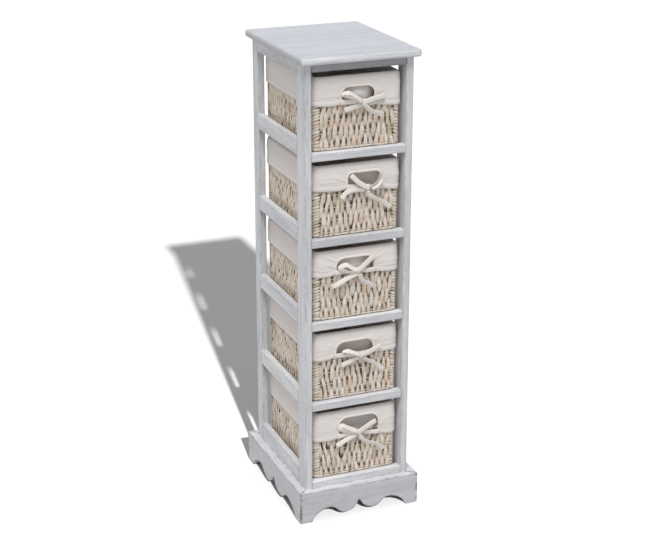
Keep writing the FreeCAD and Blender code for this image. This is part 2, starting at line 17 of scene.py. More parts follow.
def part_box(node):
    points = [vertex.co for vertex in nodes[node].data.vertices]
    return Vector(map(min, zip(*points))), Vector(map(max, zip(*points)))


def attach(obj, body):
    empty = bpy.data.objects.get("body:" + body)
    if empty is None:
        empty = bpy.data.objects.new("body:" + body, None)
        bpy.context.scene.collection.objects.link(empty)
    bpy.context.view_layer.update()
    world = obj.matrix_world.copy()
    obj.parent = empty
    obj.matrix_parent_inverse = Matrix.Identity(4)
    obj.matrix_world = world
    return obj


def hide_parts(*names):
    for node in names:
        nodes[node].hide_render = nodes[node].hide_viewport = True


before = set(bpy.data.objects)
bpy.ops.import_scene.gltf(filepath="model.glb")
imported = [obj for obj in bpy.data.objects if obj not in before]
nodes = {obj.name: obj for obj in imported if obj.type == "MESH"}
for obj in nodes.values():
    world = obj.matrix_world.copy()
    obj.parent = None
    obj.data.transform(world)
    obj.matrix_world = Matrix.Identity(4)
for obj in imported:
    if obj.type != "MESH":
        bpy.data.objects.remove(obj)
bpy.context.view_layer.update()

MM = 0.001
BASKETS = 5

# %% [markdown]
# ## Camera
# The picture was taken from the front left and a little above, with a long lens. A camera could be set
# by eye, but here its place comes from fitting the shelf's corners to the picture, so the lens is
# written in pixels.

# %% Camera
PICTURE_WIDTH = 650
FOCAL_PIXELS = 1531.7
CAMERA_PLACE = (-1.1422, -2.7979, 1.5797)
CAMERA_TILT = 70.55
CAMERA_TURN = -21.985
CAMERA_SHIFT = -0.0238


def new_object(name, data):
    """A camera, a light or a mesh as an object in the scene."""
    made = bpy.data.objects.new(name, data)
    bpy.context.scene.collection.objects.link(made)
    return made


lens = bpy.data.cameras.new("lens")
lens.lens = FOCAL_PIXELS / PICTURE_WIDTH * lens.sensor_width
lens.shift_y = CAMERA_SHIFT
camera = new_object("camera", lens)
camera.location = CAMERA_PLACE
camera.rotation_euler = [math.radians(angle) for angle in (CAMERA_TILT, 0, CAMERA_TURN)]
bpy.context.scene.camera = camera
bpy.context.scene.view_settings.view_transform = "Standard"
print("lens", round(lens.lens, 1), "mm")

# %% [markdown]
# ## Small helpers for shader nodes
# Every finish here is a network of nodes. Small helpers keep the code short: one adds a node and fills
# its inputs with numbers or links, others stand for sums and blends that come back often, and one
# starts a group that several finishes share.

# %% Node helpers
def add(tree, kind, inputs=None, **settings):
    """A node with its settings, whose inputs take a number, a colour or another node's output."""
    node = tree.nodes.new(kind)
    for name, value in settings.items():
        setattr(node, name, value)
    for name, value in (inputs or {}).items():
        if isinstance(value, bpy.types.NodeSocket):
            tree.links.new(value, node.inputs[name])
        else:
            node.inputs[name].default_value = value
    return node


def math_node(tree, operation, *values):
    """The result of one sum on numbers or outputs."""
    return add(tree, "ShaderNodeMath", dict(enumerate(values)), operation=operation).outputs[0]


def vector_node(tree, operation, first, second):
    """The outputs of one sum on two vectors."""
    return add(tree, "ShaderNodeVectorMath", {0: first, 1: second}, operation=operation).outputs


def read_mark(tree, name):
    """The value that a mesh keeps at each of its points under a name."""
    return add(tree, "ShaderNodeAttribute", attribute_name=name).outputs["Fac"]


def ramp(tree, value, low, high):
    """A value stretched so that low becomes 0 and high becomes 1."""
    inputs = {"Value": value, "From Min": low, "From Max": high}
    return add(tree, "ShaderNodeMapRange", inputs).outputs[0]


def blend_colours(tree, factor, first, second):
    """One colour over another, as much as the factor says."""
    factor_input, first_input, second_input, colour_output = 0, 6, 7, 2
    inputs = {factor_input: factor, first_input: first, second_input: second}
    return add(tree, "ShaderNodeMix", inputs, data_type="RGBA").outputs[colour_output]


def tint(tree, colour, other, mask, share):
    """A colour that turns into another where a mask is, by no more than a share."""
    return blend_colours(tree, math_node(tree, "MULTIPLY", mask, share), colour, other)


def relief(tree, height, strength, depth, normal=None, sunk=False):
    """The normals of a surface with raised or sunk detail."""
    inputs = {"Height": height, "Strength": strength, "Distance": depth}
    if normal is not None:
        inputs["Normal"] = normal
    return add(tree, "ShaderNodeBump", inputs, invert=sunk).outputs[0]


def speckle(tree, vector, scale, detail, roughness):
    """A cloudy value from 0 to 1."""
    inputs = {"Vector": vector, "Scale": scale, "Detail": detail, "Roughness": roughness}
    return add(tree, "ShaderNodeTexNoise", inputs).outputs[0]


def new_group(name, inputs, outputs):
    """An empty node group, with its own inputs and outputs ready to link."""
    tree = bpy.data.node_groups.new(name, "ShaderNodeTree")
    for label, kind in inputs:
        tree.interface.new_socket(label, in_out="INPUT", socket_type="NodeSocket" + kind)
    for label, kind in outputs:
        tree.interface.new_socket(label, in_out="OUTPUT", socket_type="NodeSocket" + kind)
    return tree, tree.nodes.new("NodeGroupInput").outputs, tree.nodes.new("NodeGroupOutput").inputs


def use_group(tree, group, **inputs):
    """A group's outputs, with its inputs filled; an underscore in a name stands for a space."""
    filled = {name.replace("_", " "): value for name, value in inputs.items()}
    return add(tree, "ShaderNodeGroup", filled, node_tree=group).outputs


def new_finish(name, **settings):
    """A material, its node tree and its shader with plain settings; an underscore stands for a space."""
    material = bpy.data.materials.new(name)
    material.use_nodes = True
    shader = material.node_tree.nodes["Principled BSDF"]
    for label, value in settings.items():
        shader.inputs[label.replace("_", " ")].default_value = value
    return material, material.node_tree, shader


def connect(tree, shader, **sources):
    """Links outputs to the shader's inputs; an underscore in a name stands for a space."""
    for label, source in sources.items():
        tree.links.new(source, shader.inputs[label.replace("_", " ")])


print("helpers ready")

# %% [markdown]
# ## Floor and light
# A shelf is pictured on a white floor under large soft lamps from the front left and above, with light
# from all round. A world of even light gives the soft part and a sun the direction. The floor turns
# white for the eye alone, and its shadow has a sun of its own: light linking keeps the key sun off the
# floor, and a lower sun lights nothing but the floor, so that the shadow falls as long and as deep as a
# studio lamp throws it.

# %% Floor and light
KEY_HEADING = Vector((0.22, 0.39, -0.89))
KEY_STRENGTH = 2.1
KEY_SOFTNESS = math.radians(18)
FLOOR_HEADING = Vector((0.24, 1.51, -0.98))
FLOOR_SUN_STRENGTH = 8.3
FLOOR_SOFTNESS = math.radians(1.2)
SKY_LEVEL = 0.6
FLOOR_SIZE = 40.0
FLOOR_SEEN = (0.53, 0.53, 0.53, 1)
FLOOR_BOUNCE = (0.33, 0.33, 0.33, 1)


def seen_directly(tree):
    """1 where the eye, a reflection or glass looks, and 0 for the light that bounces about."""
    path = add(tree, "ShaderNodeLightPath").outputs
    direct = math_node(tree, "MAXIMUM", path["Is Camera Ray"], path["Is Glossy Ray"])
    return math_node(tree, "MAXIMUM", direct, path["Is Transmission Ray"])


def light_room():
    """Even light from all round, white where it is looked at."""
    world = bpy.data.worlds.new("studio")
    world.use_nodes = True
    tree = world.node_tree
    level = math_node(tree, "MULTIPLY_ADD", seen_directly(tree), 1 - SKY_LEVEL, SKY_LEVEL)
    background = tree.nodes["Background"]
    background.inputs["Color"].default_value = (1, 1, 1, 1)
    tree.links.new(level, background.inputs["Strength"])
    bpy.context.scene.world = world


def lay_floor():
    """A wide white floor."""
    half = FLOOR_SIZE / 2
    mesh = bpy.data.meshes.new("floor")
    corners = [(-half, -half, 0), (half, -half, 0), (half, half, 0), (-half, half, 0)]
    mesh.from_pydata(corners, [], [(0, 1, 2, 3)])
    floor = new_object("floor", mesh)
    material, tree, shader = new_finish("floor_white", Roughness=1.0, Specular_IOR_Level=0.0)
    connect(tree, shader, Base_Color=blend_colours(tree, seen_directly(tree), FLOOR_BOUNCE, FLOOR_SEEN))
    mesh.materials.append(material)
    return floor


def hang_sun(name, heading, strength, softness, floor_state):
    """A soft sun; the floor's state says whether it lights the floor alone or everything else."""
    light = bpy.data.lights.new(name, "SUN")
    light.energy = strength
    light.angle = softness
    sun = new_object(name, light)
    sun.rotation_euler = heading.to_track_quat("-Z", "Y").to_euler()
    lit = bpy.data.collections.new(name + "_receivers")
    lit.objects.link(floor)
    lit.collection_objects[0].light_linking.link_state = floor_state
    sun.light_linking.receiver_collection = lit


light_room()
floor = lay_floor()
hang_sun("key_sun", KEY_HEADING, KEY_STRENGTH, KEY_SOFTNESS, "EXCLUDE")
hang_sun("floor_sun", FLOOR_HEADING, FLOOR_SUN_STRENGTH, FLOOR_SOFTNESS, "INCLUDE")
print("sky", SKY_LEVEL, "key", KEY_STRENGTH)

# %% [markdown]
# ## Whitewashed wood
# The posts, rails and boards are a light wood, brushed with thin white paint and rubbed back: cool grey
# grain shows in long streaks, and the paint is thin along some edges. A photo of paint could be wrapped
# round the parts, but a pattern made of stretched noise fits every board and can be seen from close by.
# Grain and edge wear are groups, because all the painted finishes share them, and the bare runners and
# the metals use one each.

# %% Grain and edge wear
BOARD_SHIFT = (7, 5, 3)
BAND_SCALE, BROAD_SCALE, FINE_SCALE, PORE_SCALE = 26, 90, 330, 620
FLAT_FACING, WORN_FACING = 0.985, 0.92


def grain_group():
    """Long streaks, fine pores and broad brushed bands along the way in which the pattern is stretched."""
    tree, start, end = new_group(
        "grain", [("Stretch", "Vector")], [("Streaks", "Float"), ("Pores", "Float"), ("Bands", "Float")]
    )
    place = add(tree, "ShaderNodeTexCoord").outputs["Object"]
    board = add(tree, "ShaderNodeObjectInfo").outputs["Random"]
    shift = vector_node(tree, "MULTIPLY", board, BOARD_SHIFT)[0]
    moved = vector_node(tree, "ADD", place, shift)[0]
    stretched = vector_node(tree, "MULTIPLY", moved, start["Stretch"])[0]
    broad = speckle(tree, stretched, BROAD_SCALE, 5, 0.62)
    fine = speckle(tree, stretched, FINE_SCALE, 4, 0.7)
    both = math_node(tree, "MULTIPLY_ADD", fine, 0.5, math_node(tree, "MULTIPLY", broad, 0.5))
    pores = speckle(tree, stretched, PORE_SCALE, 2, 0.5)
    bands = speckle(tree, stretched, BAND_SCALE, 3, 0.55)
    tree.links.new(ramp(tree, both, 0.42, 0.62), end["Streaks"])
    tree.links.new(ramp(tree, pores, 0.58, 0.7), end["Pores"])
    tree.links.new(ramp(tree, bands, 0.38, 0.68), end["Bands"])
    return tree


def wear_group():
    """Where paint is rubbed through: near edges, in patches."""
    tree, start, end = new_group(
        "edge_wear", [("Width", "Float"), ("Patch Size", "Float")], [("Mask", "Float")]
    )
    true_normal = add(tree, "ShaderNodeNewGeometry").outputs["Normal"]
    rounded = add(tree, "ShaderNodeBevel", {"Radius": start["Width"]}, samples=6).outputs[0]
    facing = vector_node(tree, "DOT_PRODUCT", true_normal, rounded)["Value"]
    edge = ramp(tree, facing, FLAT_FACING, WORN_FACING)
    place = add(tree, "ShaderNodeTexCoord").outputs["Object"]
    patches = ramp(tree, speckle(tree, place, start["Patch Size"], 5, 0.75), 0.45, 0.53)
    tree.links.new(math_node(tree, "MULTIPLY", edge, patches), end["Mask"])
    return tree


grain = grain_group()
edge_wear = wear_group()
print("groups:", grain.name, edge_wear.name)

# %% [markdown]
# ## The finishes of the frame
# Whitewash is one function, called with the grain along X, Y or Z. Front rails are painted lighter on
# top, as painted light from above. The top board's face that looks up is bluer and painted darker, as
# painted shade, its front edge and other faces are painted lighter, as a painted highlight, and its ends
# are painted darker. The rail under it is painted dark grey, mostly as painted shade from the board's
# overhang and a little as dust, and the outer faces of the plinth are painted darker than its ledge, as
# painted shade. Runners are bare pine, screws are zinc-plated and the baskets' hidden strip frames are
# dark rolled steel.

# %% Wood and metal finishes
ACROSS_GRAIN = 1.0
ALONG_GRAIN = 0.07
PAINT = (0.69, 0.695, 0.71, 1)
# Painted highlight: lighter paint on faces that look up and on the top board's edges.
HIGHLIT_PAINT = (0.84, 0.845, 0.86, 1)
# Painted shade: the top board's upward face, bluer and darker than its edges.
SHADED_TOP_PAINT = (0.54, 0.56, 0.605, 1)
# Painted shade: the plinth's outer faces, darker than its ledge, which keeps the plain paint.
SHADED_PLINTH_PAINT = (0.57, 0.575, 0.59, 1)
END_PAINT = (0.46, 0.465, 0.48, 1)
# Mostly painted shade from the top board's overhang on the rail under it, with a little dust.
DUST_AND_OVERHANG_SHADE = (0.32, 0.32, 0.335, 1)
GREY_GRAIN = (0.4, 0.41, 0.44, 1)
PORE_GREY = (0.24, 0.24, 0.25, 1)
RUBBED_WOOD = (0.11, 0.105, 0.105, 1)
WEAR_WIDTH, WEAR_PATCHES = 0.006, 44.0
BAND_SHARE, STREAK_SHARE = 0.35, 0.55
PORE_DEPTH = 0.6
SOFT_EDGE = 0.001
PINE, PINE_GRAIN = (0.55, 0.42, 0.27, 1), (0.42, 0.29, 0.16, 1)
ZINC, ZINC_STAIN = (0.72, 0.72, 0.74, 1), (0.5, 0.5, 0.53, 1)
STEEL, STEEL_STAIN = (0.3, 0.29, 0.28, 1), (0.14, 0.13, 0.12, 1)


def whitewash(name, axis, paint=PAINT, upward_light_paint=HIGHLIT_PAINT, end_paint=None, wear=0.85):
    """Rubbed white paint with the grain along one axis; faces that look up take their own colour as
    painted light and shade, and ends may differ.
    """
    stretch = [ALONG_GRAIN if way == axis else ACROSS_GRAIN for way in "xyz"]
    material, tree, shader = new_finish("whitewash_" + name, Specular_IOR_Level=0.3)
    found = use_group(tree, grain, Stretch=stretch)
    worn = use_group(tree, edge_wear, Width=WEAR_WIDTH, Patch_Size=WEAR_PATCHES)["Mask"]
    normal = add(tree, "ShaderNodeNewGeometry").outputs["Normal"]
    facing = add(tree, "ShaderNodeSeparateXYZ", {0: normal}).outputs
    # Faces that look up take their own colour, as painted light from above; the top board's face gets
    # painted shade instead.
    colour = blend_colours(tree, ramp(tree, facing["Z"], 0.5, 0.9), paint, upward_light_paint)
    if end_paint:
        endward = math_node(tree, "ABSOLUTE", facing[axis.upper()])
        colour = blend_colours(tree, ramp(tree, endward, 0.3, 0.8), colour, end_paint)
    colour = tint(tree, colour, GREY_GRAIN, found["Bands"], BAND_SHARE)
    colour = tint(tree, colour, GREY_GRAIN, found["Streaks"], STREAK_SHARE)
    pore_share = math_node(tree, "MULTIPLY_ADD", found["Bands"], 0.4, 0.2)
    colour = tint(tree, colour, PORE_GREY, found["Pores"], pore_share)
    colour = tint(tree, colour, RUBBED_WOOD, worn, wear)
    rough = math_node(tree, "MULTIPLY_ADD", found["Streaks"], 0.2, 0.5)
    height = math_node(tree, "MULTIPLY_ADD", found["Pores"], PORE_DEPTH, found["Streaks"])
    soft_edge = add(tree, "ShaderNodeBevel", {"Radius": SOFT_EDGE}, samples=4).outputs[0]
    bump = relief(tree, height, 0.35, 0.0004, soft_edge, sunk=True)
    connect(tree, shader, Base_Color=colour, Roughness=rough, Normal=bump)
    return material


def bare_pine():
    """Unpainted runner wood with the grain along Y."""
    material, tree, shader = new_finish("bare_pine", Specular_IOR_Level=0.3, Roughness=0.7)
    found = use_group(tree, grain, Stretch=(ACROSS_GRAIN, ALONG_GRAIN, ACROSS_GRAIN))
    colour = blend_colours(tree, found["Streaks"], PINE, PINE_GRAIN)
    connect(tree, shader, Base_Color=colour, Normal=relief(tree, found["Streaks"], 0.3, 0.0004))
    return material


def metal(name, light, dark, stain_scale):
    """Metal with cloudy stains, rubbed bright at its edges."""
    material, tree, shader = new_finish(name, Metallic=1.0)
    place = add(tree, "ShaderNodeTexCoord").outputs["Object"]
    stain = speckle(tree, place, stain_scale, 6, 0.7)
    worn = use_group(tree, edge_wear, Width=0.0006, Patch_Size=160.0)["Mask"]
    colour = blend_colours(tree, worn, blend_colours(tree, stain, light, dark), light)
    connect(tree, shader, Base_Color=colour, Roughness=math_node(tree, "MULTIPLY_ADD", stain, 0.3, 0.25))
    return material


finishes = {
    "x": whitewash("x", "x", wear=0.3),
    "y": whitewash("y", "y", upward_light_paint=PAINT, wear=0.3),
    "z": whitewash("z", "z", wear=0.55),
    "top": whitewash("top", "x", HIGHLIT_PAINT, SHADED_TOP_PAINT, END_PAINT),
    "under_top": whitewash("under_top", "x", DUST_AND_OVERHANG_SHADE),
    "plinth_x": whitewash("plinth_x", "x", SHADED_PLINTH_PAINT, PAINT),
    "plinth_y": whitewash("plinth_y", "y", SHADED_PLINTH_PAINT, PAINT),
    "pine": bare_pine(),
    "zinc": metal("zinc", ZINC, ZINC_STAIN, 400),
    "strip": metal("rolled_strip", STEEL, STEEL_STAIN, 90),
}
print("finishes:", ", ".join(finishes))

# %% [markdown]
# ## Dress the frame
# The nodes keep the meshes that the model gave them, and only get a finish: the grain follows the
# length of each piece, as a joiner would cut it.

# %% Dress the frame
FINISH_BY_NAME = {
    "post": "z", "front_rail_5": "under_top", "front_rail": "x", "back_rail": "x",
    "left_rail": "y", "right_rail": "y", "top_board": "top",
    "plinth_front": "plinth_x", "plinth_back": "plinth_x",
    "plinth_left": "plinth_y", "plinth_right": "plinth_y",
    "runners": "pine", "wood_screws": "zinc",
}


def dress(node, material):
    """Puts one finish on the whole of a node."""
    node.data.materials.clear()
    node.data.materials.append(material)


for name, node in nodes.items():
    start = next((start for start in FINISH_BY_NAME if name.startswith(start)), None)
    if start:
        dress(node, finishes[FINISH_BY_NAME[start]])
    elif name.endswith("strip_frame"):
        dress(node, finishes["strip"])
print("dressed", sum(bool(node.data.materials) for node in nodes.values()), "nodes")

# %% [markdown]
# ## Strands
# Husk strands, wires, wraps, bindings and tapes are all the same thing to a maker: something long with
# a small flat section. One function sweeps that section along a path, and a small class gathers many
# strands in a mesh. Each point also remembers its strand's tone and its place along and across the
# strand, which the finishes read.

# %% Strand helpers
UP = Vector((0, 0, 1))
SECTION_SIDES = 8
SECTION = [
    (math.cos(2 * math.pi * side / SECTION_SIDES), math.sin(2 * math.pi * side / SECTION_SIDES))
    for side in range(SECTION_SIDES)
]


def each(value, count):
    """One value for every point of a path, or the list that was given."""
    return value if isinstance(value, list) else [value] * count


def clamp(value):
    """A value held between 0 and 1."""
    return min(max(value, 0.0), 1.0)


def heading_at(path, index):
    """Which way a path goes at one of its points."""
    return path[min(index + 1, len(path) - 1)] - path[max(index - 1, 0)]


def sweep(path, sides, widths, thicknesses):
    """Flat rings along a path, as wide as asked along the side vectors."""
    count = len(path)
    rings = []
    for index, (point, side, width, thickness) in enumerate(
        zip(path, each(sides, count), each(widths, count), each(thicknesses, count))
    ):
        heading = heading_at(path, index)
        depth = heading.cross(side).normalized()
        across = depth.cross(heading).normalized()
        rings.append([
            point + across * (c * width / 2) + depth * (s * thickness / 2) for c, s in SECTION
        ])
    return rings


class Strands:
    """Many swept strands in one mesh."""

    def __init__(self):
        self.points = []
        self.faces = []
        self.finish = []
        self.marks = {"tone": [], "along": [], "across": [], "dip": []}

    def lay(self, path, sides, widths, thicknesses, tone=0.5, finish=0, closed=False, dips=0.0):
        """Adds a strand; a closed one joins its own start, and dips say how much painted shade a point
        gets.
        """
        rings = sweep(path, sides, widths, thicknesses)
        tones = each(tone, len(rings))
        first = len(self.points)
        distance = 0.0
        for index, (ring, dip) in enumerate(zip(rings, each(dips, len(rings)))):
            distance += (path[index] - path[index - 1]).length if index else 0.0
            self.points += ring
            self.marks["dip"] += [dip] * SECTION_SIDES
            self.marks["tone"] += [tones[index]] * SECTION_SIDES
            self.marks["along"] += [distance] * SECTION_SIDES
            self.marks["across"] += [c for c, s in SECTION]
        rows = len(rings)
        for row in range(rows if closed else rows - 1):
            here = first + row * SECTION_SIDES
            there = first + (row + 1) % rows * SECTION_SIDES
            for side in range(SECTION_SIDES):
                after = (side + 1) % SECTION_SIDES
                self.faces.append((here + side, here + after, there + after, there + side))
        if not closed:
            last = first + (rows - 1) * SECTION_SIDES
            self.faces.append(tuple(range(first + SECTION_SIDES - 1, first - 1, -1)))
            self.faces.append(tuple(range(last, last + SECTION_SIDES)))
        self.finish += [finish] * (len(self.faces) - len(self.finish))

    def mark_sides(self, width):
        """Keeps how far each point lies from the middle of its tape, which the threads follow."""
        self.marks["side"] = [value * width / 2 * MM for value in self.marks["across"]]

    def make(self, name, materials):
        """The finished object."""
        return make_object(name, self.points, self.faces, materials, self.finish, self.marks)


def make_object(name, points, faces, materials, finish=None, marks=None):
    """A smooth mesh object with its finishes and the values that they read at each point."""
    mesh = bpy.data.meshes.new(name)
    mesh.from_pydata(points, [], faces)
    for material in materials:
        mesh.materials.append(material)
    if finish:
        mesh.polygons.foreach_set("material_index", finish)
    for mark, values in (marks or {}).items():
        mesh.attributes.new(mark, "FLOAT", "POINT").data.foreach_set("value", values)
    mesh.polygons.foreach_set("use_smooth", [True] * len(faces))
    mesh.update()
    return new_object(name, mesh)


print("a section has", SECTION_SIDES, "sides")

# %% [markdown]
# ## Where each basket is
# The model's boxes say where a basket's weave and liner lie and where its hand hole is: the tie hangs
# under the middle of the hole. All places below are millimetres from the middle of the basket's base.
# No two liners are sewn alike, so the opening of each flap has its own place beside the tie, half
# width, top and round.

# %% Basket places
OPENINGS = {
    1: (1, 34.5, 124, 16),
    2: (0, 35.5, 127.5, 12),
    3: (-3, 41, 128.5, 17),
    4: (-3, 41.5, 124.5, 19),
    5: (0, 44.5, 130.5, 19),
}
SEED = 40


class Basket:
    """One basket's place, and a ruler that turns its own millimetres into the model's metres."""

    def __init__(self, number):
        self.number = number
        self.name = f"basket_{number}"
        low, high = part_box(self.name + "_weave")
        self.middle = Vector(((low.x + high.x) / 2, (low.y + high.y) / 2, low.z))
        self.half_x = (high.x - low.x) / 2 / MM
        self.half_y = (high.y - low.y) / 2 / MM
        self.height = (high.z - low.z) / MM
        tie_low, tie_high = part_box(self.name + "_tie_bow")
        beside, self.opening_half, self.opening_top, self.opening_round = OPENINGS[number]
        self.opening_x = (tie_low.x + tie_high.x) / 2 / MM + beside
        self.random = random.Random(SEED + number)

    def at(self, x, y, z):
        """A place measured from the middle of the base."""
        return self.middle + Vector((x, y, z)) * MM

    def settle(self, piece, slot, *replaced):
        """Rides a piece on this basket in place of the model's soft solids."""
        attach(piece, self.name)
        if replaced:
            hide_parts(*[f"{self.name}_{node}" for node in replaced])
        return piece


baskets = [Basket(number) for number in range(1, BASKETS + 1)]
for basket in baskets:
    opens, base = round(basket.opening_x, 1), round(basket.middle.z, 4)
    print(basket.name, "opens at", opens, "mm, base at", base, "m")

# %% [markdown]
# ## Husk finish
# The baskets are woven from dried maize husk: twisted flat strands from cream to tan, some greenish,
# with fine fibres along them. Where they dip behind a wire they are painted brown and dark, as painted
# shade, and their sides are a little darker too, partly brown edges and partly painted shade. A tone per
# strand picks the colour, and noise that is stretched along the strand draws the fibres. The inner layer
# is the same husk, painted near-black brown as painted shade.

# %% Husk finish
FIBRE_STRETCH = 70.0
FIBRE_SHIFT = 91.0


def fibre_group():
    """Fine lines along a strand, from the strand's own marks."""
    tree, start, end = new_group(
        "fibres", [("Fineness", "Float")], [("Lines", "Float"), ("Mottle", "Float")]
    )
    lines = add(tree, "ShaderNodeCombineXYZ", {
        0: math_node(tree, "MULTIPLY", read_mark(tree, "across"), start["Fineness"]),
        1: math_node(tree, "MULTIPLY", read_mark(tree, "along"), FIBRE_STRETCH),
        2: math_node(tree, "MULTIPLY", read_mark(tree, "tone"), FIBRE_SHIFT),
    }).outputs[0]
    tree.links.new(ramp(tree, speckle(tree, lines, 1.6, 4, 0.65), 0.32, 0.72), end["Lines"])
    tree.links.new(ramp(tree, speckle(tree, lines, 0.5, 2, 0.5), 0.42, 0.66), end["Mottle"])
    return tree


fibres = fibre_group()

HUSK_TONES = [
    (0.0, (0.60, 0.54, 0.41, 1)),
    (0.12, (0.71, 0.63, 0.50, 1)),
    (0.35, (0.85, 0.755, 0.645, 1)),
    (0.62, (0.94, 0.87, 0.785, 1)),
    (0.85, (0.88, 0.77, 0.655, 1)),
    (1.0, (0.82, 0.66, 0.51, 1)),
]
# Brown of the fibre lines and mottle, and the painted shade along the strands' sides.
HUSK_BROWN_AND_SHADE = (0.24, 0.15, 0.09, 1)
# Painted shade where strands dip behind wires, at tucked wrap ends and in the border's twist.
DEEP_SHADE = (0.06, 0.035, 0.022, 1)
# Painted shade: the inner layer is painted near-black brown for the shade in the slits.
INNER_SHADE_BROWN = (0.085, 0.045, 0.026, 1)
INNER_SHADE_DARK = (0.03, 0.016, 0.01, 1)
LINE_SHARE, MOTTLE_SHARE, FLANK_SHADE_SHARE, DIP_SHADE_SHARE = 0.28, 0.4, 0.45, 0.88


def husk():
    """Cream to tan strands with fibres, darker along their sides: partly brown edges and partly painted
    shade where they round away.
    """
    material, tree, shader = new_finish("husk", Specular_IOR_Level=0.25)
    colours = add(tree, "ShaderNodeValToRGB", {"Fac": read_mark(tree, "tone")})
    steps = colours.color_ramp.elements
    while len(steps) < len(HUSK_TONES):
        steps.new(0.5)
    for step, (position, colour) in zip(steps, HUSK_TONES):
        step.position = position
        step.color = colour
    found = use_group(tree, fibres, Fineness=5.0)
    # Painted shade along a strand's sides, where it rounds away, with some real browning.
    flank_shade = ramp(tree, math_node(tree, "ABSOLUTE", read_mark(tree, "across")), 0.55, 1.0)
    colour = tint(tree, colours.outputs["Color"], HUSK_BROWN_AND_SHADE, found["Lines"], LINE_SHARE)
    colour = tint(tree, colour, HUSK_BROWN_AND_SHADE, found["Mottle"], MOTTLE_SHARE)
    colour = tint(tree, colour, HUSK_BROWN_AND_SHADE, flank_shade, FLANK_SHADE_SHARE)
    # Painted shade from the dip mark.
    colour = tint(tree, colour, DEEP_SHADE, read_mark(tree, "dip"), DIP_SHADE_SHARE)
    rough = math_node(tree, "MULTIPLY_ADD", found["Lines"], 0.25, 0.55)
    bump = relief(tree, found["Lines"], 0.5, 0.0005, sunk=True)
    connect(tree, shader, Base_Color=colour, Roughness=rough, Normal=bump)
    return material


def shaded_husk():
    """The inner layer, painted near-black brown as painted shade, that shows as dark slits."""
    material, tree, shader = new_finish("shaded_husk", Specular_IOR_Level=0.1, Roughness=0.9)
    found = use_group(tree, fibres, Fineness=6.0)
    connect(tree, shader, Base_Color=blend_colours(tree, found["Lines"], INNER_SHADE_BROWN, INNER_SHADE_DARK))
    return material


husk_finishes = [husk(), shaded_husk()]
print("husk tones:", len(HUSK_TONES))

# %% [markdown]
# ## Woven walls
# Upright husk strands go over and under level wires, and each neighbour goes the other way. A strand
# spreads like a leaf where it passes in front of a wire, and narrows to a point above, where it slips
# behind the next, so that a wall shows rows of leaves with dark slits between them, crossed by the pale
# wires. The dark in the slits is painted shade, on the strands behind a wire and on the inner layer. A
# bump map could draw this flat, but slits and swells catch the light at any angle only if they are real,
# so each strand is swept along its own path.

# %% Woven walls
HOLE_FOOT = 97.0
HOLE_EDGE = 3.0
CORNER = 14
CORNER_COLUMN = 14.2
STRAND_PITCH = 5.85
WIRE_PITCH = 25.5
FIRST_WIRE = 8.5
WALL_MIDDLE = -3.1
WEAVE_SWING = 1.5
LEAF_WIDTH = 7.9
LEAF_SWELL = 2.5
LEAF_SKEW = 0.7
LEAF_TILT = 3.0
LEAN = 2.0
STRAY = 0.9
LATE = 0.6
VARY_WIDTH, VARY_TONE = 0.3, 0.45
SHADE_START, SHADE_SPAN = 0.35, 0.5
RIM_GAP = 2.5
SIDE_BREADTH = 1.24
STRAND_THICKNESS = 2.1
STRAND_STEP = 4.2
FOOT_TURN = ((13.0, 1.9), (6.5, 1.7))
FOOT_WIDTH = 7.6
FOOT_RISE = 7.0
FOOT_INSET = 3.2
FOOT_BREADTH = 0.9
FOOT_Z = 2.6
INNER_PITCH = 9.0
INNER_WIDTH = 11.5
INNER_THICKNESS = 1.0
INNER_INSET = 5.3
INNER_Z = 3.0
OUTER_HUSK, INNER_SHADE_HUSK = 0, 1


def walls(basket):
    """The four walls: middle of the outer face, way along it, way out, and half length between corners."""
    x, y = Vector((1, 0, 0)), Vector((0, 1, 0))
    return [
        (-y * basket.half_y, x, -y, basket.half_x - CORNER_COLUMN),
        (x * basket.half_x, y, x, basket.half_y - CORNER_COLUMN),
        (y * basket.half_y, -x, y, basket.half_x - CORNER_COLUMN),
        (-x * basket.half_x, -y, -x, basket.half_y - CORNER_COLUMN),
    ]


def hole_span(basket):
    """The lower and upper edge of the hand hole, which the flap's opening hides."""
    return HOLE_FOOT, basket.opening_top + HOLE_EDGE


def upright_stretches(basket, is_front, u):
    """The heights between which an upright strand runs: two stretches where the hand hole parts it."""
    foot, rim = 0.0, basket.height - RIM_GAP
    if is_front and abs(u - basket.opening_x) < basket.opening_half + HOLE_EDGE:
        below, above = hole_span(basket)
        return [(foot, below), (above, rim)]
    return [(foot, rim)]


def husk_tone(rng):
    """Mostly cream, now and then tan or greenish."""
    return clamp(rng.gauss(0.52, 0.2))


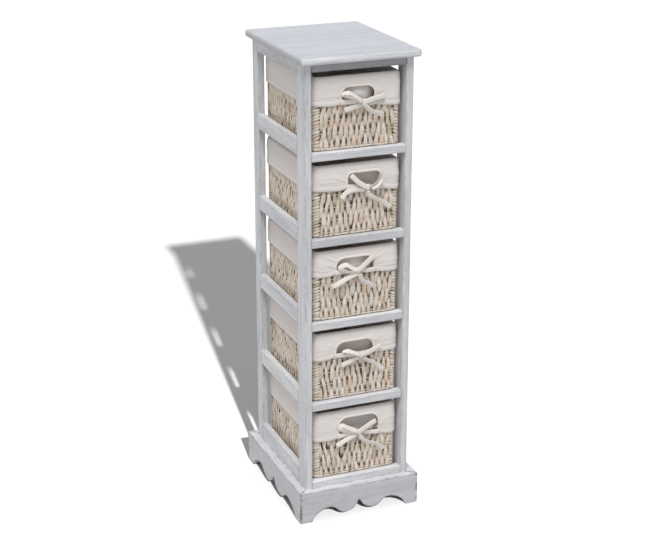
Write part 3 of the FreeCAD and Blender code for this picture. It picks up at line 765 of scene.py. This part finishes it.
def weave_upright(strands, basket, wall, is_front, u, turn):
    """One strand from foot to rim: a leaf in front of one wire, narrow and in painted shade behind the
    next.
    """
    middle, along, out = wall[:3]
    rng = basket.random
    tone = husk_tone(rng)
    breadth = rng.uniform(0.86, 1.14) * (1 if is_front else SIDE_BREADTH)
    wander = rng.uniform(0, 100)
    late = rng.uniform(-LATE, LATE)
    u += rng.uniform(-STRAY, STRAY)
    for low, high in upright_stretches(basket, is_front, u):
        rows = max(4, round((high - low) / STRAND_STEP))
        path, widths, dips, tones = [], [], [], []
        if low == 0:
            for inward, z in FOOT_TURN:
                path.append(basket.at(*(middle + along * u - out * inward + UP * z)))
                widths.append(FOOT_WIDTH * MM)
                dips.append(0.0)
                tones.append(tone)
        for row in range(rows + 1):
            z = low + (high - low) * row / rows
            phase = math.pi * ((z - FIRST_WIRE) / WIRE_PITCH + turn) + late
            swing = math.cos(phase)
            leaf = math.cos(phase + LEAF_SKEW)
            foot = max(0.0, 1 - z / FOOT_RISE) ** 2
            lean = LEAN * noise.noise((wander, z / 30, u))
            lean += LEAF_TILT * math.sin(phase) * noise.noise((wander, z / 50, 5.5))
            vary = noise.noise((wander, z / 24, 7.7))
            reach = WALL_MIDDLE + WEAVE_SWING * swing * (1 - foot) - FOOT_INSET * foot
            spot = middle + along * (u + lean * (1 - foot)) + out * reach
            path.append(basket.at(spot.x, spot.y, max(z, FOOT_Z)))
            width = LEAF_WIDTH + LEAF_SWELL * leaf * (1 - foot) + FOOT_BREADTH * foot
            widths.append(width * breadth * (1 + VARY_WIDTH * vary) * MM)
            tones.append(clamp(tone + VARY_TONE * vary))
            # Painted shade: the dip mark darkens the strand where it passes behind a wire.
            dips.append(clamp((-swing - SHADE_START) / SHADE_SPAN) * (1 - foot))
        strands.lay(path, along, widths, STRAND_THICKNESS * MM, tones, OUTER_HUSK, dips=dips)


def weave_inner(strands, basket, wall, is_front, u):
    """A broad strand of the inner layer, which is painted dark as painted shade."""
    middle, along, out = wall[:3]
    for low, high in upright_stretches(basket, is_front, u):
        path = [
            basket.at(*(middle + along * u - out * INNER_INSET + UP * max(z, INNER_Z)))
            for z in (low, (low + high) / 2, high)
        ]
        tone = basket.random.random()
        strands.lay(path, along, INNER_WIDTH * MM, INNER_THICKNESS * MM, tone, INNER_SHADE_HUSK)


def spread(half, pitch):
    """Evenly spaced places along a wall, about a pitch apart."""
    count = round(2 * half / pitch)
    return [(index + 0.5) * 2 * half / count - half for index in range(count)]


def weave_walls(strands, basket):
    """Both layers of all four walls."""
    for wall_index, wall in enumerate(walls(basket)):
        is_front = wall_index == 0
        for index, u in enumerate(spread(wall[3], STRAND_PITCH)):
            weave_upright(strands, basket, wall, is_front, u, index % 2)
        for u in spread(wall[3] + 3, INNER_PITCH):
            weave_inner(strands, basket, wall, is_front, u)


print("strands on a front wall:", len(spread(baskets[0].half_x - CORNER_COLUMN, STRAND_PITCH)))

# %% [markdown]
# ## Corners, wires and floor
# The corners are wrapped: short strands go round each upright edge, one above the other, and show as a
# column of ridges. A border closes the foot. The level wires run once round and stop at the hand hole.
# The floor is woven plainly, strand beside strand.

# %% Corners, wires and floor
WRAP_PITCH = 6.4
WRAP_HEIGHT = 7.0
WRAP_DEPTH = 4.4
WRAP_REACH = 13.0
WRAP_STEPS = 10
WRAP_INSET, WRAP_TUCK, WRAP_TAPER = 2.3, 2.6, 2.2
BORDER_Z = 3.2
BORDER_HEIGHT, BORDER_TWIST = 4.4, 2.4
BORDER_DEPTH = 3.0
BORDER_INSET = 2.6
BORDER_COUNTS, BORDER_ARC = (60, 80, 60, 80), 8
WIRE_COUNTS, WIRE_ARC = (30, 30, 20, 30), 6
WIRE_SIZE, WIRE_TONE = 2.2, 0.45
FLOOR_STRAND_Z = 3.5
FLOOR_PITCH = 8.2
FLOOR_MARGIN_X, FLOOR_MARGIN_Y = 7, 8
FLOOR_WIRE_PITCH = 22
FLOOR_SWING = 0.6
FLOOR_WIDTH, FLOOR_THICKNESS = 7.8, 2.2
FRONT_WAY = -0.99


def round_rectangle(half_x, half_y, radius, side_counts, arc_steps):
    """Points and ways out round a rectangle with round corners, from the front left."""
    ring = []
    corners = [(-1, -1), (1, -1), (1, 1), (-1, 1)]
    inner_x, inner_y = half_x - radius, half_y - radius
    for side, count in enumerate(side_counts):
        angle = math.radians(90 * side - 90)
        out = Vector((math.cos(angle), math.sin(angle), 0))
        (from_x, from_y), (to_x, to_y) = corners[side], corners[(side + 1) % 4]
        start = Vector((from_x * inner_x, from_y * inner_y, 0)) + out * radius
        end = Vector((to_x * inner_x, to_y * inner_y, 0)) + out * radius
        for index in range(count + 1):
            ring.append((start.lerp(end, index / count), out))
        centre = Vector((to_x * inner_x, to_y * inner_y, 0))
        for step in range(1, arc_steps):
            turn = angle + math.pi / 2 * step / arc_steps
            way = Vector((math.cos(turn), math.sin(turn), 0))
            ring.append((centre + way * radius, way))
    return ring


def plan(basket, inset, side_counts, arc_steps):
    """The basket's plan, drawn in from its outer face."""
    half_x, half_y = basket.half_x - inset, basket.half_y - inset
    return round_rectangle(half_x, half_y, CORNER - inset, side_counts, arc_steps)


def wrap_corner(strands, basket, side_x, side_y):
    """A column of short slanting strands round one upright edge."""
    rng = basket.random
    centre = Vector((side_x * (basket.half_x - CORNER), side_y * (basket.half_y - CORNER), 0))
    arc = CORNER * math.pi / 2
    lowest, highest = WRAP_HEIGHT / 2 + 0.2, basket.height - 5
    z = WRAP_PITCH * 0.6
    while z < highest:
        path, heights, dips = [], [], []
        tone = husk_tone(rng)
        tilt = rng.uniform(0.22, 0.5)
        for step in range(WRAP_STEPS + 1):
            s = (2 * step / WRAP_STEPS - 1) * WRAP_REACH
            inner = max(-arc / 2, min(arc / 2, s))
            angle = math.pi / 4 + inner / CORNER
            way = Vector((side_x * math.cos(angle), side_y * math.sin(angle), 0))
            beyond = Vector((-side_x * math.sin(angle), side_y * math.cos(angle), 0)) * (s - inner)
            end = abs(s) / WRAP_REACH
            tuck = WRAP_TUCK * max(0.0, (end - 0.6) / 0.4) ** 2
            level = min(max(z + tilt * s, lowest), highest)
            path.append(basket.at(*(centre + way * (CORNER - WRAP_INSET - tuck) + beyond + UP * level)))
            heights.append((WRAP_HEIGHT - WRAP_TAPER * end ** 3) * MM)
            # Painted shade at the wrap's tucked ends.
            dips.append(max(0.0, (end - 0.7) / 0.3))
        strands.lay(path, UP, heights, WRAP_DEPTH * MM, tone, OUTER_HUSK, dips=dips)
        z += WRAP_PITCH * rng.uniform(0.9, 1.12)


def lay_border(strands, basket):
    """A twisted strand round the foot."""
    ring = plan(basket, BORDER_INSET, BORDER_COUNTS, BORDER_ARC)
    path, heights, tones, dips = [], [], [], []
    for index, (point, out) in enumerate(ring):
        twist = noise.noise((index * 0.6, basket.number * 3.7, 1.1))
        path.append(basket.at(point.x, point.y, BORDER_Z + 0.5 * twist))
        heights.append((BORDER_HEIGHT + BORDER_TWIST * twist) * MM)
        tones.append(0.5 + 0.4 * twist)
        # Painted shade in the hollows of the border's twist.
        dips.append(max(0.0, -0.9 * twist))
    strands.lay(path, UP, heights, BORDER_DEPTH * MM, tones, OUTER_HUSK, True, dips)


def run_wires(strands, basket):
    """Level wires round the walls, parted at the hand hole."""
    ring = plan(basket, -WALL_MIDDLE, WIRE_COUNTS, WIRE_ARC)
    below, above = hole_span(basket)
    z = FIRST_WIRE
    while z < basket.height - 3:
        points = ring
        parted = below - 2 < z < above + 2
        if parted:
            middle = next(index for index, (point, out) in enumerate(ring) if point.x > basket.opening_x)
            turned = ring[middle:] + ring[:middle]
            reach = basket.opening_half + HOLE_EDGE
            points = [
                (point, out) for point, out in turned
                if out.y > FRONT_WAY or abs(point.x - basket.opening_x) > reach
            ]
        path = [basket.at(point.x, point.y, z) for point, out in points]
        size = WIRE_SIZE * MM
        strands.lay(path, UP, size, size, WIRE_TONE, OUTER_HUSK, closed=not parted)
        z += WIRE_PITCH


def weave_floor(strands, basket):
    """Strands from side to side, over and under lengthwise wires."""
    half = basket.half_x - FLOOR_MARGIN_X
    for index, y in enumerate(spread(basket.half_y - FLOOR_MARGIN_Y, FLOOR_PITCH)):
        turn = 1 if index % 2 else -1
        path = []
        for step in range(25):
            x = half * (step / 12 - 1)
            lift = FLOOR_SWING * turn * math.cos(math.pi * x / FLOOR_WIRE_PITCH)
            path.append(basket.at(x, y, FLOOR_STRAND_Z + lift))
        tone = husk_tone(basket.random)
        strands.lay(path, Vector((0, 1, 0)), FLOOR_WIDTH * MM, FLOOR_THICKNESS * MM, tone, OUTER_HUSK)


def weave_basket(basket):
    """A whole woven basket, in place of the model's plain one."""
    strands = Strands()
    weave_walls(strands, basket)
    for side_x in (-1, 1):
        for side_y in (-1, 1):
            wrap_corner(strands, basket, side_x, side_y)
    lay_border(strands, basket)
    run_wires(strands, basket)
    weave_floor(strands, basket)
    woven = strands.make(basket.name + "_husk", husk_finishes)
    print(woven.name, len(strands.faces), "faces")
    return basket.settle(woven, "woven_husk", "weave")


for basket in baskets:
    basket.woven = weave_basket(basket)

# %% [markdown]
# ## Cotton finish
# Liner, binding and tape are the same unbleached cotton: a plain weave of fine threads, a little
# thicker here and there. The weave is a group that reads the cloth's own thread directions, so that
# threads follow the folds. The hem's seam is a mark of the liner too, the distance from it: a second
# group turns that into a groove with painted shade in it, and stitches.

# %% Cotton finish
THREADS_PER_METRE = 1300
STITCHES_PER_METRE = 260
COTTON = (0.78, 0.735, 0.705, 1)
COTTON_DIM = (0.70, 0.655, 0.625, 1)
TAPE_COTTON = (0.81, 0.755, 0.71, 1)
# Painted shade in the hem seam's groove.
SEAM_SHADE = (0.50, 0.46, 0.43, 1)
SLUB_SHARE, SLUB_HEIGHT = 0.6, 0.8
GROOVE_SHADE_SHARE, GROOVE_DEPTH = 0.35, 3.0


def plain_weave_group():
    """Threads that cross over and under, with slubs."""
    tree, start, end = new_group(
        "plain_weave", [("Warp", "Float"), ("Weft", "Float")], [("Threads", "Float"), ("Slubs", "Float")]
    )
    waves = []
    for side in ("Warp", "Weft"):
        angle = math_node(tree, "MULTIPLY", start[side], math.pi * THREADS_PER_METRE)
        waves.append(math_node(tree, "SINE", angle))
    crossing = math_node(tree, "MULTIPLY", *waves)
    flat = add(tree, "ShaderNodeCombineXYZ", {0: start["Warp"], 1: start["Weft"]}).outputs[0]
    slubs = speckle(tree, flat, 260, 4, 0.65)
    tree.links.new(ramp(tree, crossing, -1.0, 1.0), end["Threads"])
    tree.links.new(ramp(tree, slubs, 0.35, 0.7), end["Slubs"])
    return tree


def stitch_group():
    """A sunken line and the dashes of its thread, from the distance to a seam and the place along it."""
    tree, start, end = new_group(
        "stitch_line", [("Away", "Float"), ("Along", "Float")], [("Groove", "Float"), ("Thread", "Float")]
    )
    away = math_node(tree, "ABSOLUTE", start["Away"])
    place = math_node(tree, "FRACT", math_node(tree, "MULTIPLY", start["Along"], STITCHES_PER_METRE))
    dash = math_node(tree, "GREATER_THAN", place, 0.35)
    tree.links.new(ramp(tree, away, 0.0022, 0.0006), end["Groove"])
    tree.links.new(math_node(tree, "MULTIPLY", dash, ramp(tree, away, 0.0007, 0.0004)), end["Thread"])
    return tree


plain_weave, stitch_line = plain_weave_group(), stitch_group()


def cotton(name, warp_mark, weft_mark, light, seam_mark=None):
    """Cloth whose thread directions, and its seam if it has one, come from marks of its mesh."""
    material, tree, shader = new_finish(name, Roughness=0.95, Specular_IOR_Level=0.1, Sheen_Weight=0.15)
    warp = read_mark(tree, warp_mark)
    found = use_group(tree, plain_weave, Warp=warp, Weft=read_mark(tree, weft_mark))
    colour = tint(tree, light, COTTON_DIM, found["Slubs"], SLUB_SHARE)
    height = math_node(tree, "MULTIPLY_ADD", found["Slubs"], SLUB_HEIGHT, found["Threads"])
    if seam_mark:
        seam = use_group(tree, stitch_line, Away=read_mark(tree, seam_mark), Along=warp)
        # Painted shade in the seam's groove.
        colour = tint(tree, colour, SEAM_SHADE, seam["Groove"], GROOVE_SHADE_SHARE)
        colour = blend_colours(tree, seam["Thread"], colour, light)
        height = math_node(tree, "MULTIPLY_ADD", seam["Groove"], -GROOVE_DEPTH, height)
    connect(tree, shader, Base_Color=colour, Normal=relief(tree, height, 0.25, 0.0003))
    return material


liner_cotton = cotton("liner_cotton", "warp", "weft", COTTON, "seam")
tape_cotton = cotton("tape_cotton", "along", "side", TAPE_COTTON)
print("cotton:", THREADS_PER_METRE, "threads and", STITCHES_PER_METRE, "stitches per metre")

# %% [markdown]
# ## Liner
# The liner is a sewn bag: floor, four walls, a fold over the rim and a flap outside that ends in a hem,
# which holds the drawstring. It could be simulated, but a liner that is tied on hangs straight, so it
# is lofted from rings: each ring is the basket's plan, drawn in or out, and small folds are pushed into
# it. The flap is open in front of the hand hole, and its hem is drawn up there. Behind the hole the bag
# hangs whole, pushed in or out by hands.

# %% Liner shape
LINER_CORNER = 15.8
FRONT_COLUMNS, SIDE_COLUMNS, BACK_COLUMNS, ARC_STEPS = 70, 34, 24, 5
LINER_REACH = 1.8
BAG_INSET = 11.7
BAG_FLOOR = 7.1
FLAP_INSET = 0.75
RIM_START = 139.0
RIM_TOP = 146.4
HEM_CASING = 11.0
HEM_LIFT = 3.0
LIFT_REACH = 14.0
PLEAT_REACH = 26.0
PLEAT_DEPTH, PLEAT_SLOPE = 2.6, 0.45
FLOOR_RUMPLE, WALL_SLACK, RIM_RUMPLE = 1.5, 2.2, 0.8
FLAP_FOLD, FLAP_CREASE = 2.0, 1.5
HEM_ROLL, HEM_PUCKER = 1.3, 0.8
CLOTH_THICKNESS = 1.0
HEM_ENDS = {1: (90, 79), 2: (96, 84), 3: (93, 88), 4: (88, 91), 5: (84, 77)}
HEM_ELSEWHERE = {1: 86, 2: 88, 3: 91, 4: 96, 5: 88}
BAG_BULGE = {1: 9.0, 2: -6.0, 3: 6.0, 4: -5.0, 5: -4.5}
FAR_FROM_SEAM = 50.0
FLOOR_INSETS = (72, 50, 34, 22, 15, 12.4)
WALL_HEIGHTS = (9, 13, 22, 34, 46, 58, 70, 82, 91)
NOTCH_FOOT = 60.0


def notch_outline(basket, grow=0.0):
    """The flap's opening: up one side, round over the hole and down the other, as (x, z) points."""
    top = basket.opening_top + grow
    half = basket.opening_half + grow
    radius = basket.opening_round + grow
    rise = top - radius - NOTCH_FOOT
    left = [(-half, NOTCH_FOOT + rise * step / 10) for step in range(10)]
    for step in range(9):
        angle = math.pi / 2 * step / 8
        left.append((-half + radius - radius * math.cos(angle), top - radius + radius * math.sin(angle)))
    across = [((half - radius) * (step / 8 - 1), top) for step in range(1, 9)]
    half_way = left + across
    path = half_way + [(-x, z) for x, z in reversed(half_way[:-1])]
    return [(basket.opening_x + x, z) for x, z in path]


def inside(x, z, outline):
    """Whether a point lies in a closed outline."""
    found = False
    for (x1, z1), (x2, z2) in zip(outline, outline[1:] + outline[:1]):
        if (z1 > z) != (z2 > z) and x < (x2 - x1) * (z - z1) / (z2 - z1) + x1:
            found = not found
    return found


def nearest(x, z, outline):
    """The place on an outline's line that is nearest to a point."""
    spots = []
    for (x1, z1), (x2, z2) in zip(outline, outline[1:]):
        run, rise = x2 - x1, z2 - z1
        share = clamp(((x - x1) * run + (z - z1) * rise) / (run ** 2 + rise ** 2))
        spots.append((x1 + run * share, z1 + rise * share))
    return min(spots, key=lambda spot: math.dist(spot, (x, z)))


def hem_height(basket, point):
    """Height of the flap's lower edge: uneven and drawn up in front, level at the sides and the back."""
    left, right = HEM_ENDS[basket.number]
    along = clamp((point.x / basket.half_x + 1) / 2)
    beside = abs(point.x - basket.opening_x) - basket.opening_half
    front = left + (right - left) * along + HEM_LIFT * math.exp(-(beside / LIFT_REACH) ** 2)
    back = clamp((point.y + basket.half_y) / (2 * basket.half_y))
    return front + (HEM_ELSEWHERE[basket.number] - front) * clamp(back * 3)


def hump(basket, x, z):
    """A swell over the hand hole: 1 at its middle, 0 at its edge."""
    low, high = hole_span(basket)
    across = 1 - ((x - basket.opening_x) / basket.opening_half) ** 2
    upward = 1 - ((2 * z - low - high + 8) / (high - low + 14)) ** 2
    return max(0.0, across) * max(0.0, upward)


def pleats(basket, point, z):
    """Small slanting ridges that the drawstring pulls into the flap beside the opening."""
    beside = point.x - basket.opening_x
    near = math.exp(-((abs(beside) - basket.opening_half) / PLEAT_REACH) ** 2)
    slant = z - PLEAT_SLOPE * abs(beside)
    return PLEAT_DEPTH * near * max(0.0, noise.noise((slant / 4.5, beside / 40, basket.number * 5.3)))


def fold(basket, distance, z, size):
    """A smooth random push from 0 to 1 that makes soft folds."""
    return 0.5 + 0.5 * noise.noise((distance / size, z / size * 1.7, basket.number * 9.1))


def liner_rows():
    """The liner's rows from the middle of its floor to its hem: kind, inset, and height or share."""
    rows = [("floor", inset, BAG_FLOOR) for inset in FLOOR_INSETS]
    heights = [*WALL_HEIGHTS, *(96 + 2.6 * step for step in range(13)), RIM_START - 4.5]
    rows += [("wall", BAG_INSET, z) for z in heights]
    middle, reach = (BAG_INSET + FLAP_INSET) / 2, (BAG_INSET - FLAP_INSET) / 2
    for step in range(9):
        angle = math.pi * step / 8
        height = RIM_START + (RIM_TOP - RIM_START) * math.sin(angle)
        rows.append(("rim", middle + reach * math.cos(angle), height))
    rows += [("flap", FLAP_INSET, step / 16) for step in range(1, 17)]
    rows += [("hem", FLAP_INSET, step / 6) for step in range(1, 7)]
    return rows


def liner_point(basket, kind, height, point, out, distance):
    """Where one point of the liner hangs, and how far it is from the hem's seam."""
    z = height
    push, seam = 0.0, FAR_FROM_SEAM
    casing_top = hem_height(basket, point) + HEM_CASING
    if kind == "floor":
        z += FLOOR_RUMPLE * fold(basket, point.x + point.y, point.x - point.y, 40)
    elif kind == "wall":
        push = -WALL_SLACK * fold(basket, distance, z, 55) * min(1, (RIM_START - z) / 40)
        if out.y < FRONT_WAY:
            push += BAG_BULGE[basket.number] * hump(basket, point.x, z)
    elif kind == "rim":
        z += RIM_RUMPLE * (fold(basket, distance, 0, 30) - 0.5)
    elif kind == "flap":
        z = RIM_START + (casing_top - RIM_START) * height
        billow = math.sin(math.pi * min(1, height * 0.85))
        push = (0.3 + FLAP_FOLD * fold(basket, distance, z, 26) ** 2) * billow
        push += FLAP_CREASE * max(0, noise.noise((distance / 60, z / 5, basket.number))) * height
        push += pleats(basket, point, z) if out.y < FRONT_WAY else 0.0
        seam = z - casing_top
    else:
        z = casing_top - HEM_CASING * height
        push = HEM_ROLL * math.sin(math.pi * height) ** 0.6
        push += HEM_PUCKER * fold(basket, distance, 0, 9) - 0.5
        seam = z - casing_top
    return basket.at(point.x + out.x * push, point.y + out.y * push, z), seam


def liner_ring(basket, inset):
    """The basket's plan, drawn in from the flap's outer face."""
    half_x = basket.half_x + LINER_REACH - inset
    half_y = basket.half_y + LINER_REACH - inset
    radius = max(LINER_CORNER - inset, 2.5)
    return round_rectangle(
        half_x, half_y, radius, (FRONT_COLUMNS, SIDE_COLUMNS, BACK_COLUMNS, SIDE_COLUMNS), ARC_STEPS
    )


print("hem heights:", HEM_ENDS)

# %% Liner
def sew_liner(basket):
    """The bag, its fold over the rim and its flap, with the opening cut out of the flap."""
    points, faces = [], []
    marks = {"warp": [], "weft": [], "seam": []}
    notch = notch_outline(basket)
    rows = liner_rows()
    columns = len(liner_ring(basket, 0))
    climbed = 0.0
    for row, (kind, inset, height) in enumerate(rows):
        distance = 0.0
        ring = liner_ring(basket, inset)
        for column, (point, out) in enumerate(ring):
            distance += (point - ring[column - 1][0]).length if column else 0.0
            place, seam = liner_point(basket, kind, height, point, out, distance)
            points.append(place)
            marks["warp"].append(distance * MM)
            marks["weft"].append(climbed)
            marks["seam"].append(seam * MM)
        climbed += (points[-1] - points[-1 - columns]).length if row else 0.0

    def front_place(index):
        local = (points[index] - basket.middle) / MM
        return local.x, local.z

    removed, kept = set(), set()
    for row in range(len(rows) - 1):
        may_open = rows[row + 1][0] in ("flap", "hem")
        for column in range(columns):
            after = (column + 1) % columns
            corners = [row * columns + column, row * columns + after,
                       (row + 1) * columns + after, (row + 1) * columns + column]
            x = sum(front_place(index)[0] for index in corners) / 4
            z = sum(front_place(index)[1] for index in corners) / 4
            if may_open and column < FRONT_COLUMNS and inside(x, z, notch):
                removed.update(corners)
                continue
            faces.append(corners)
            kept.update(corners)
    for index in removed & kept:
        x, z = nearest(*front_place(index), notch)
        points[index] = Vector((basket.middle.x + x * MM, points[index].y, basket.middle.z + z * MM))
    faces.append(list(range(columns - 1, -1, -1)))
    return tidy_cloth(basket, points, faces, marks, sorted(kept))


def tidy_cloth(basket, points, faces, marks, kept):
    """Leaves out the points that the opening took, and gives the cloth its thickness."""
    place = {index: new for new, index in enumerate(kept)}
    liner = make_object(
        basket.name + "_cotton_liner", [points[index] for index in kept],
        [[place[index] for index in face] for face in faces], [liner_cotton],
        marks={mark: [values[index] for index in kept] for mark, values in marks.items()},
    )
    thick = liner.modifiers.new("cloth", "SOLIDIFY")
    thick.thickness = CLOTH_THICKNESS * MM
    thick.offset = 0
    return basket.settle(liner, "cotton", "liner")


for basket in baskets:
    basket.liner = sew_liner(basket)
    print(basket.liner.name, len(basket.liner.data.polygons), "faces")

# %% [markdown]
# ## Binding and bow
# A folded strip binds the flap's opening, and the drawstring comes out of the hem there and is tied: a
# knot, two loops and two tails. No two bows are alike, so each has its own routes, read from the
# picture as the path of a pen over the basket's front. A loop that lies flat is folded back on itself;
# an open one stands on edge, and a tail may turn as it falls. A smooth curve through the points becomes
# a tape that is rolled by so many degrees.

# %% Bows
TAPE_WIDTH = 10.5
TAPE_THICKNESS = 1.2
BINDING_WIDTH = 4.8
BINDING_THICKNESS = 2.0
BOW_FRONT = 3.4
LAYER = 1.1
FOLD_DEPTH = 2.6
TAIL_LAYER, LOOP_LAYER, KNOT_LAYER = 1, 1.6, 3.2
ROUTE_STEPS = 7
BINDING_GROW = 1.2
KNOT_LEAN, KNOT_REACH = 2.5, 6

BOWS = {
    1: {
        "knot": (11, 91),
        "open_loop": (45, [(8, 94), (-14, 110), (-23, 114), (-33, 111), (-27, 107), (-12, 102), (6, 93)]),
        "flat_loop": [(11, 91), (31, 97), (52, 101)],
        "tails": [(0, 0, [(11, 89), (-10, 83), (-29, 79)]),
                  (35, 5, [(12, 86), (27, 73), (41, 68), (53, 63)])],
    },
    2: {
        "knot": (21, 96),
        "open_loop": (50, [(26, 97), (38, 105), (44, 114), (46, 121), (49, 110), (40, 99), (28, 95)]),
        "flat_loop": [(19, 96), (1, 108), (-13, 122)],
        "tails": [(0, 20, [(17, 92), (-5, 93), (-21, 91), (-30, 84), (-34, 78)]),
                  (30, 15, [(20, 88), (26, 78), (39, 70), (54, 62), (72, 48)])],
    },
    3: {
        "knot": (2, 101),
        "open_loop": (35, [(0, 102), (-11, 107), (-25, 116), (-38, 110), (-25, 101), (-4, 98)]),
        "flat_loop": [(3, 101), (18, 113), (34, 126)],
        "tails": [(30, 15, [(0, 96), (-28, 84), (-50, 74), (-53, 79)]),
                  (35, 15, [(3, 92), (12, 77), (26, 69), (41, 59)])],
    },
    4: {
        "knot": (10, 92),
        "open_loop": (50, [(6, 94), (-11, 102), (-20, 106), (-30, 104), (-21, 100), (-7, 95), (6, 92)]),
        "flat_loop": [(12, 92), (27, 96), (44, 103), (52, 106)],
        "tails": [(0, 10, [(8, 87), (-14, 81), (-33, 74)]),
                  (35, 10, [(14, 84), (33, 73), (45, 65), (60, 50)])],
    },
    5: {
        "knot": (7, 95),
        "open_loop": (30, [(3, 97), (-16, 107), (-32, 116), (-36, 108), (-18, 99), (3, 93)]),
        "flat_loop": [(8, 96), (25, 105), (42, 114)],
        "tails": [(15, 15, [(2, 90), (-23, 81), (-44, 71)]),
                  (30, 15, [(7, 88), (16, 75), (29, 67), (45, 61), (63, 45)])],
    },
}


def smooth_route(points):
    """Points along a smooth curve through the given ones."""
    ends = [points[0] * 2 - points[1], *points, points[-1] * 2 - points[-2]]
    route = []
    for index in range(1, len(ends) - 2):
        before, start, end, after = ends[index - 1:index + 3]
        for step in range(ROUTE_STEPS):
            t = step / ROUTE_STEPS
            route.append(0.5 * (
                start * 2 + (end - before) * t + (before * 2 - start * 5 + end * 4 - after) * t ** 2
                + (start * 3 - before - end * 3 + after) * t ** 3
            ))
    route.append(points[-1])
    return route


def on_front(spots):
    """A route that lies on the basket's front, as (x, forward, z)."""
    return [(x, 0.0, z) for x, z in spots]


def folded(spots):
    """A route out along the front and back over itself."""
    return on_front(spots) + [(x, FOLD_DEPTH, z) for x, z in reversed(spots)]


def lay_tape(strands, basket, route, layer, rolls=(0, 0)):
    """A flat tape in front of the basket, rolled by so many degrees at its start and its end."""
    drift = basket.random.uniform(0, 50)
    front = -basket.half_y - BOW_FRONT - layer * LAYER
    spots = smooth_route([Vector((x, front - forward, z)) for x, forward, z in route])
    path, sides = [], []
    last = None
    for index, spot in enumerate(spots):
        share = index / (len(spots) - 1)
        heading = heading_at(spots, index)
        flat = Vector((-heading.z, 0, heading.x))
        if last and flat.length < 0.3 * heading.length:
            flat = last
        if last and flat.dot(last) < 0:
            flat = -flat
        last = flat.normalized()
        degrees = rolls[0] + (rolls[1] - rolls[0]) * share
        roll = math.radians(degrees) + 0.2 * noise.noise((drift, share * 3, 0))
        sides.append(last * math.cos(roll) + Vector((0, -1, 0)) * math.sin(roll))
        lift = abs(math.sin(roll)) * TAPE_WIDTH / 2 + 0.5 * noise.noise((drift, share * 4, 7))
        path.append(basket.at(spot.x, spot.y - lift, spot.z))
    strands.lay(path, sides, TAPE_WIDTH * MM, TAPE_THICKNESS * MM)


def lay_knot(strands, basket, x, z):
    """The puffed wrap in the middle of a bow."""
    front = -basket.half_y - BOW_FRONT - KNOT_LAYER * LAYER
    path, widths, depths = [], [], []
    for step in range(9):
        share = step / 4 - 1
        swell = math.sqrt(1 - 0.85 * share ** 2)
        path.append(basket.at(x + KNOT_LEAN * share, front, z + KNOT_REACH * share))
        widths.append((5.5 + 6 * swell) * MM)
        depths.append((1.2 + 3.3 * swell) * MM)
    strands.lay(path, Vector((1, 0, 0)), widths, depths)


def tie_bow(basket):
    """Drawstring, tails, loops and knot."""
    strands = Strands()
    bow = BOWS[basket.number]
    knot_x, knot_z = bow["knot"]
    for side, droop in ((-1, 1), (1, -2)):
        x = basket.opening_x + side * (basket.opening_half + 3)
        z = hem_height(basket, Vector((x, -basket.half_y, 0))) + HEM_CASING / 2
        string = [(x, z), ((x + knot_x) / 2, (z + knot_z) / 2 + droop), (knot_x, knot_z)]
        lay_tape(strands, basket, on_front(string), 0)
    for start, end, spots in bow["tails"]:
        lay_tape(strands, basket, on_front(spots), TAIL_LAYER, (start, end))
    lay_tape(strands, basket, folded(bow["flat_loop"]), LOOP_LAYER)
    roll, spots = bow["open_loop"]
    lay_tape(strands, basket, on_front(spots), LOOP_LAYER, (roll, roll))
    lay_knot(strands, basket, knot_x, knot_z)
    strands.mark_sides(TAPE_WIDTH)
    tied = strands.make(basket.name + "_bow", [tape_cotton])
    return basket.settle(tied, "cotton_tape", "tie_bow")


def bind_notch(basket):
    """The folded strip along the flap's opening."""
    strands = Strands()
    front = -basket.half_y - LINER_REACH - 0.4
    spots = notch_outline(basket, BINDING_GROW)
    left, right = (
        hem_height(basket, Vector((x, -basket.half_y, 0))) for x in (spots[0][0], spots[-1][0])
    )
    path = [Vector((x, front, z)) for x, z in spots if z > (left if x < basket.opening_x else right) + 1]
    sides = []
    for index in range(len(path)):
        heading = heading_at(path, index)
        sides.append(Vector((-heading.z, 0, heading.x)).normalized())
    path = [basket.at(*point) for point in path]
    strands.lay(path, sides, BINDING_WIDTH * MM, BINDING_THICKNESS * MM)
    strands.mark_sides(BINDING_WIDTH)
    return basket.settle(strands.make(basket.name + "_binding", [tape_cotton]), "cotton_tape")


for basket in baskets:
    basket.binding = bind_notch(basket)
    basket.bow = tie_bow(basket)
print("bows tied:", len(BOWS))

print("liners declared:", len(baskets))
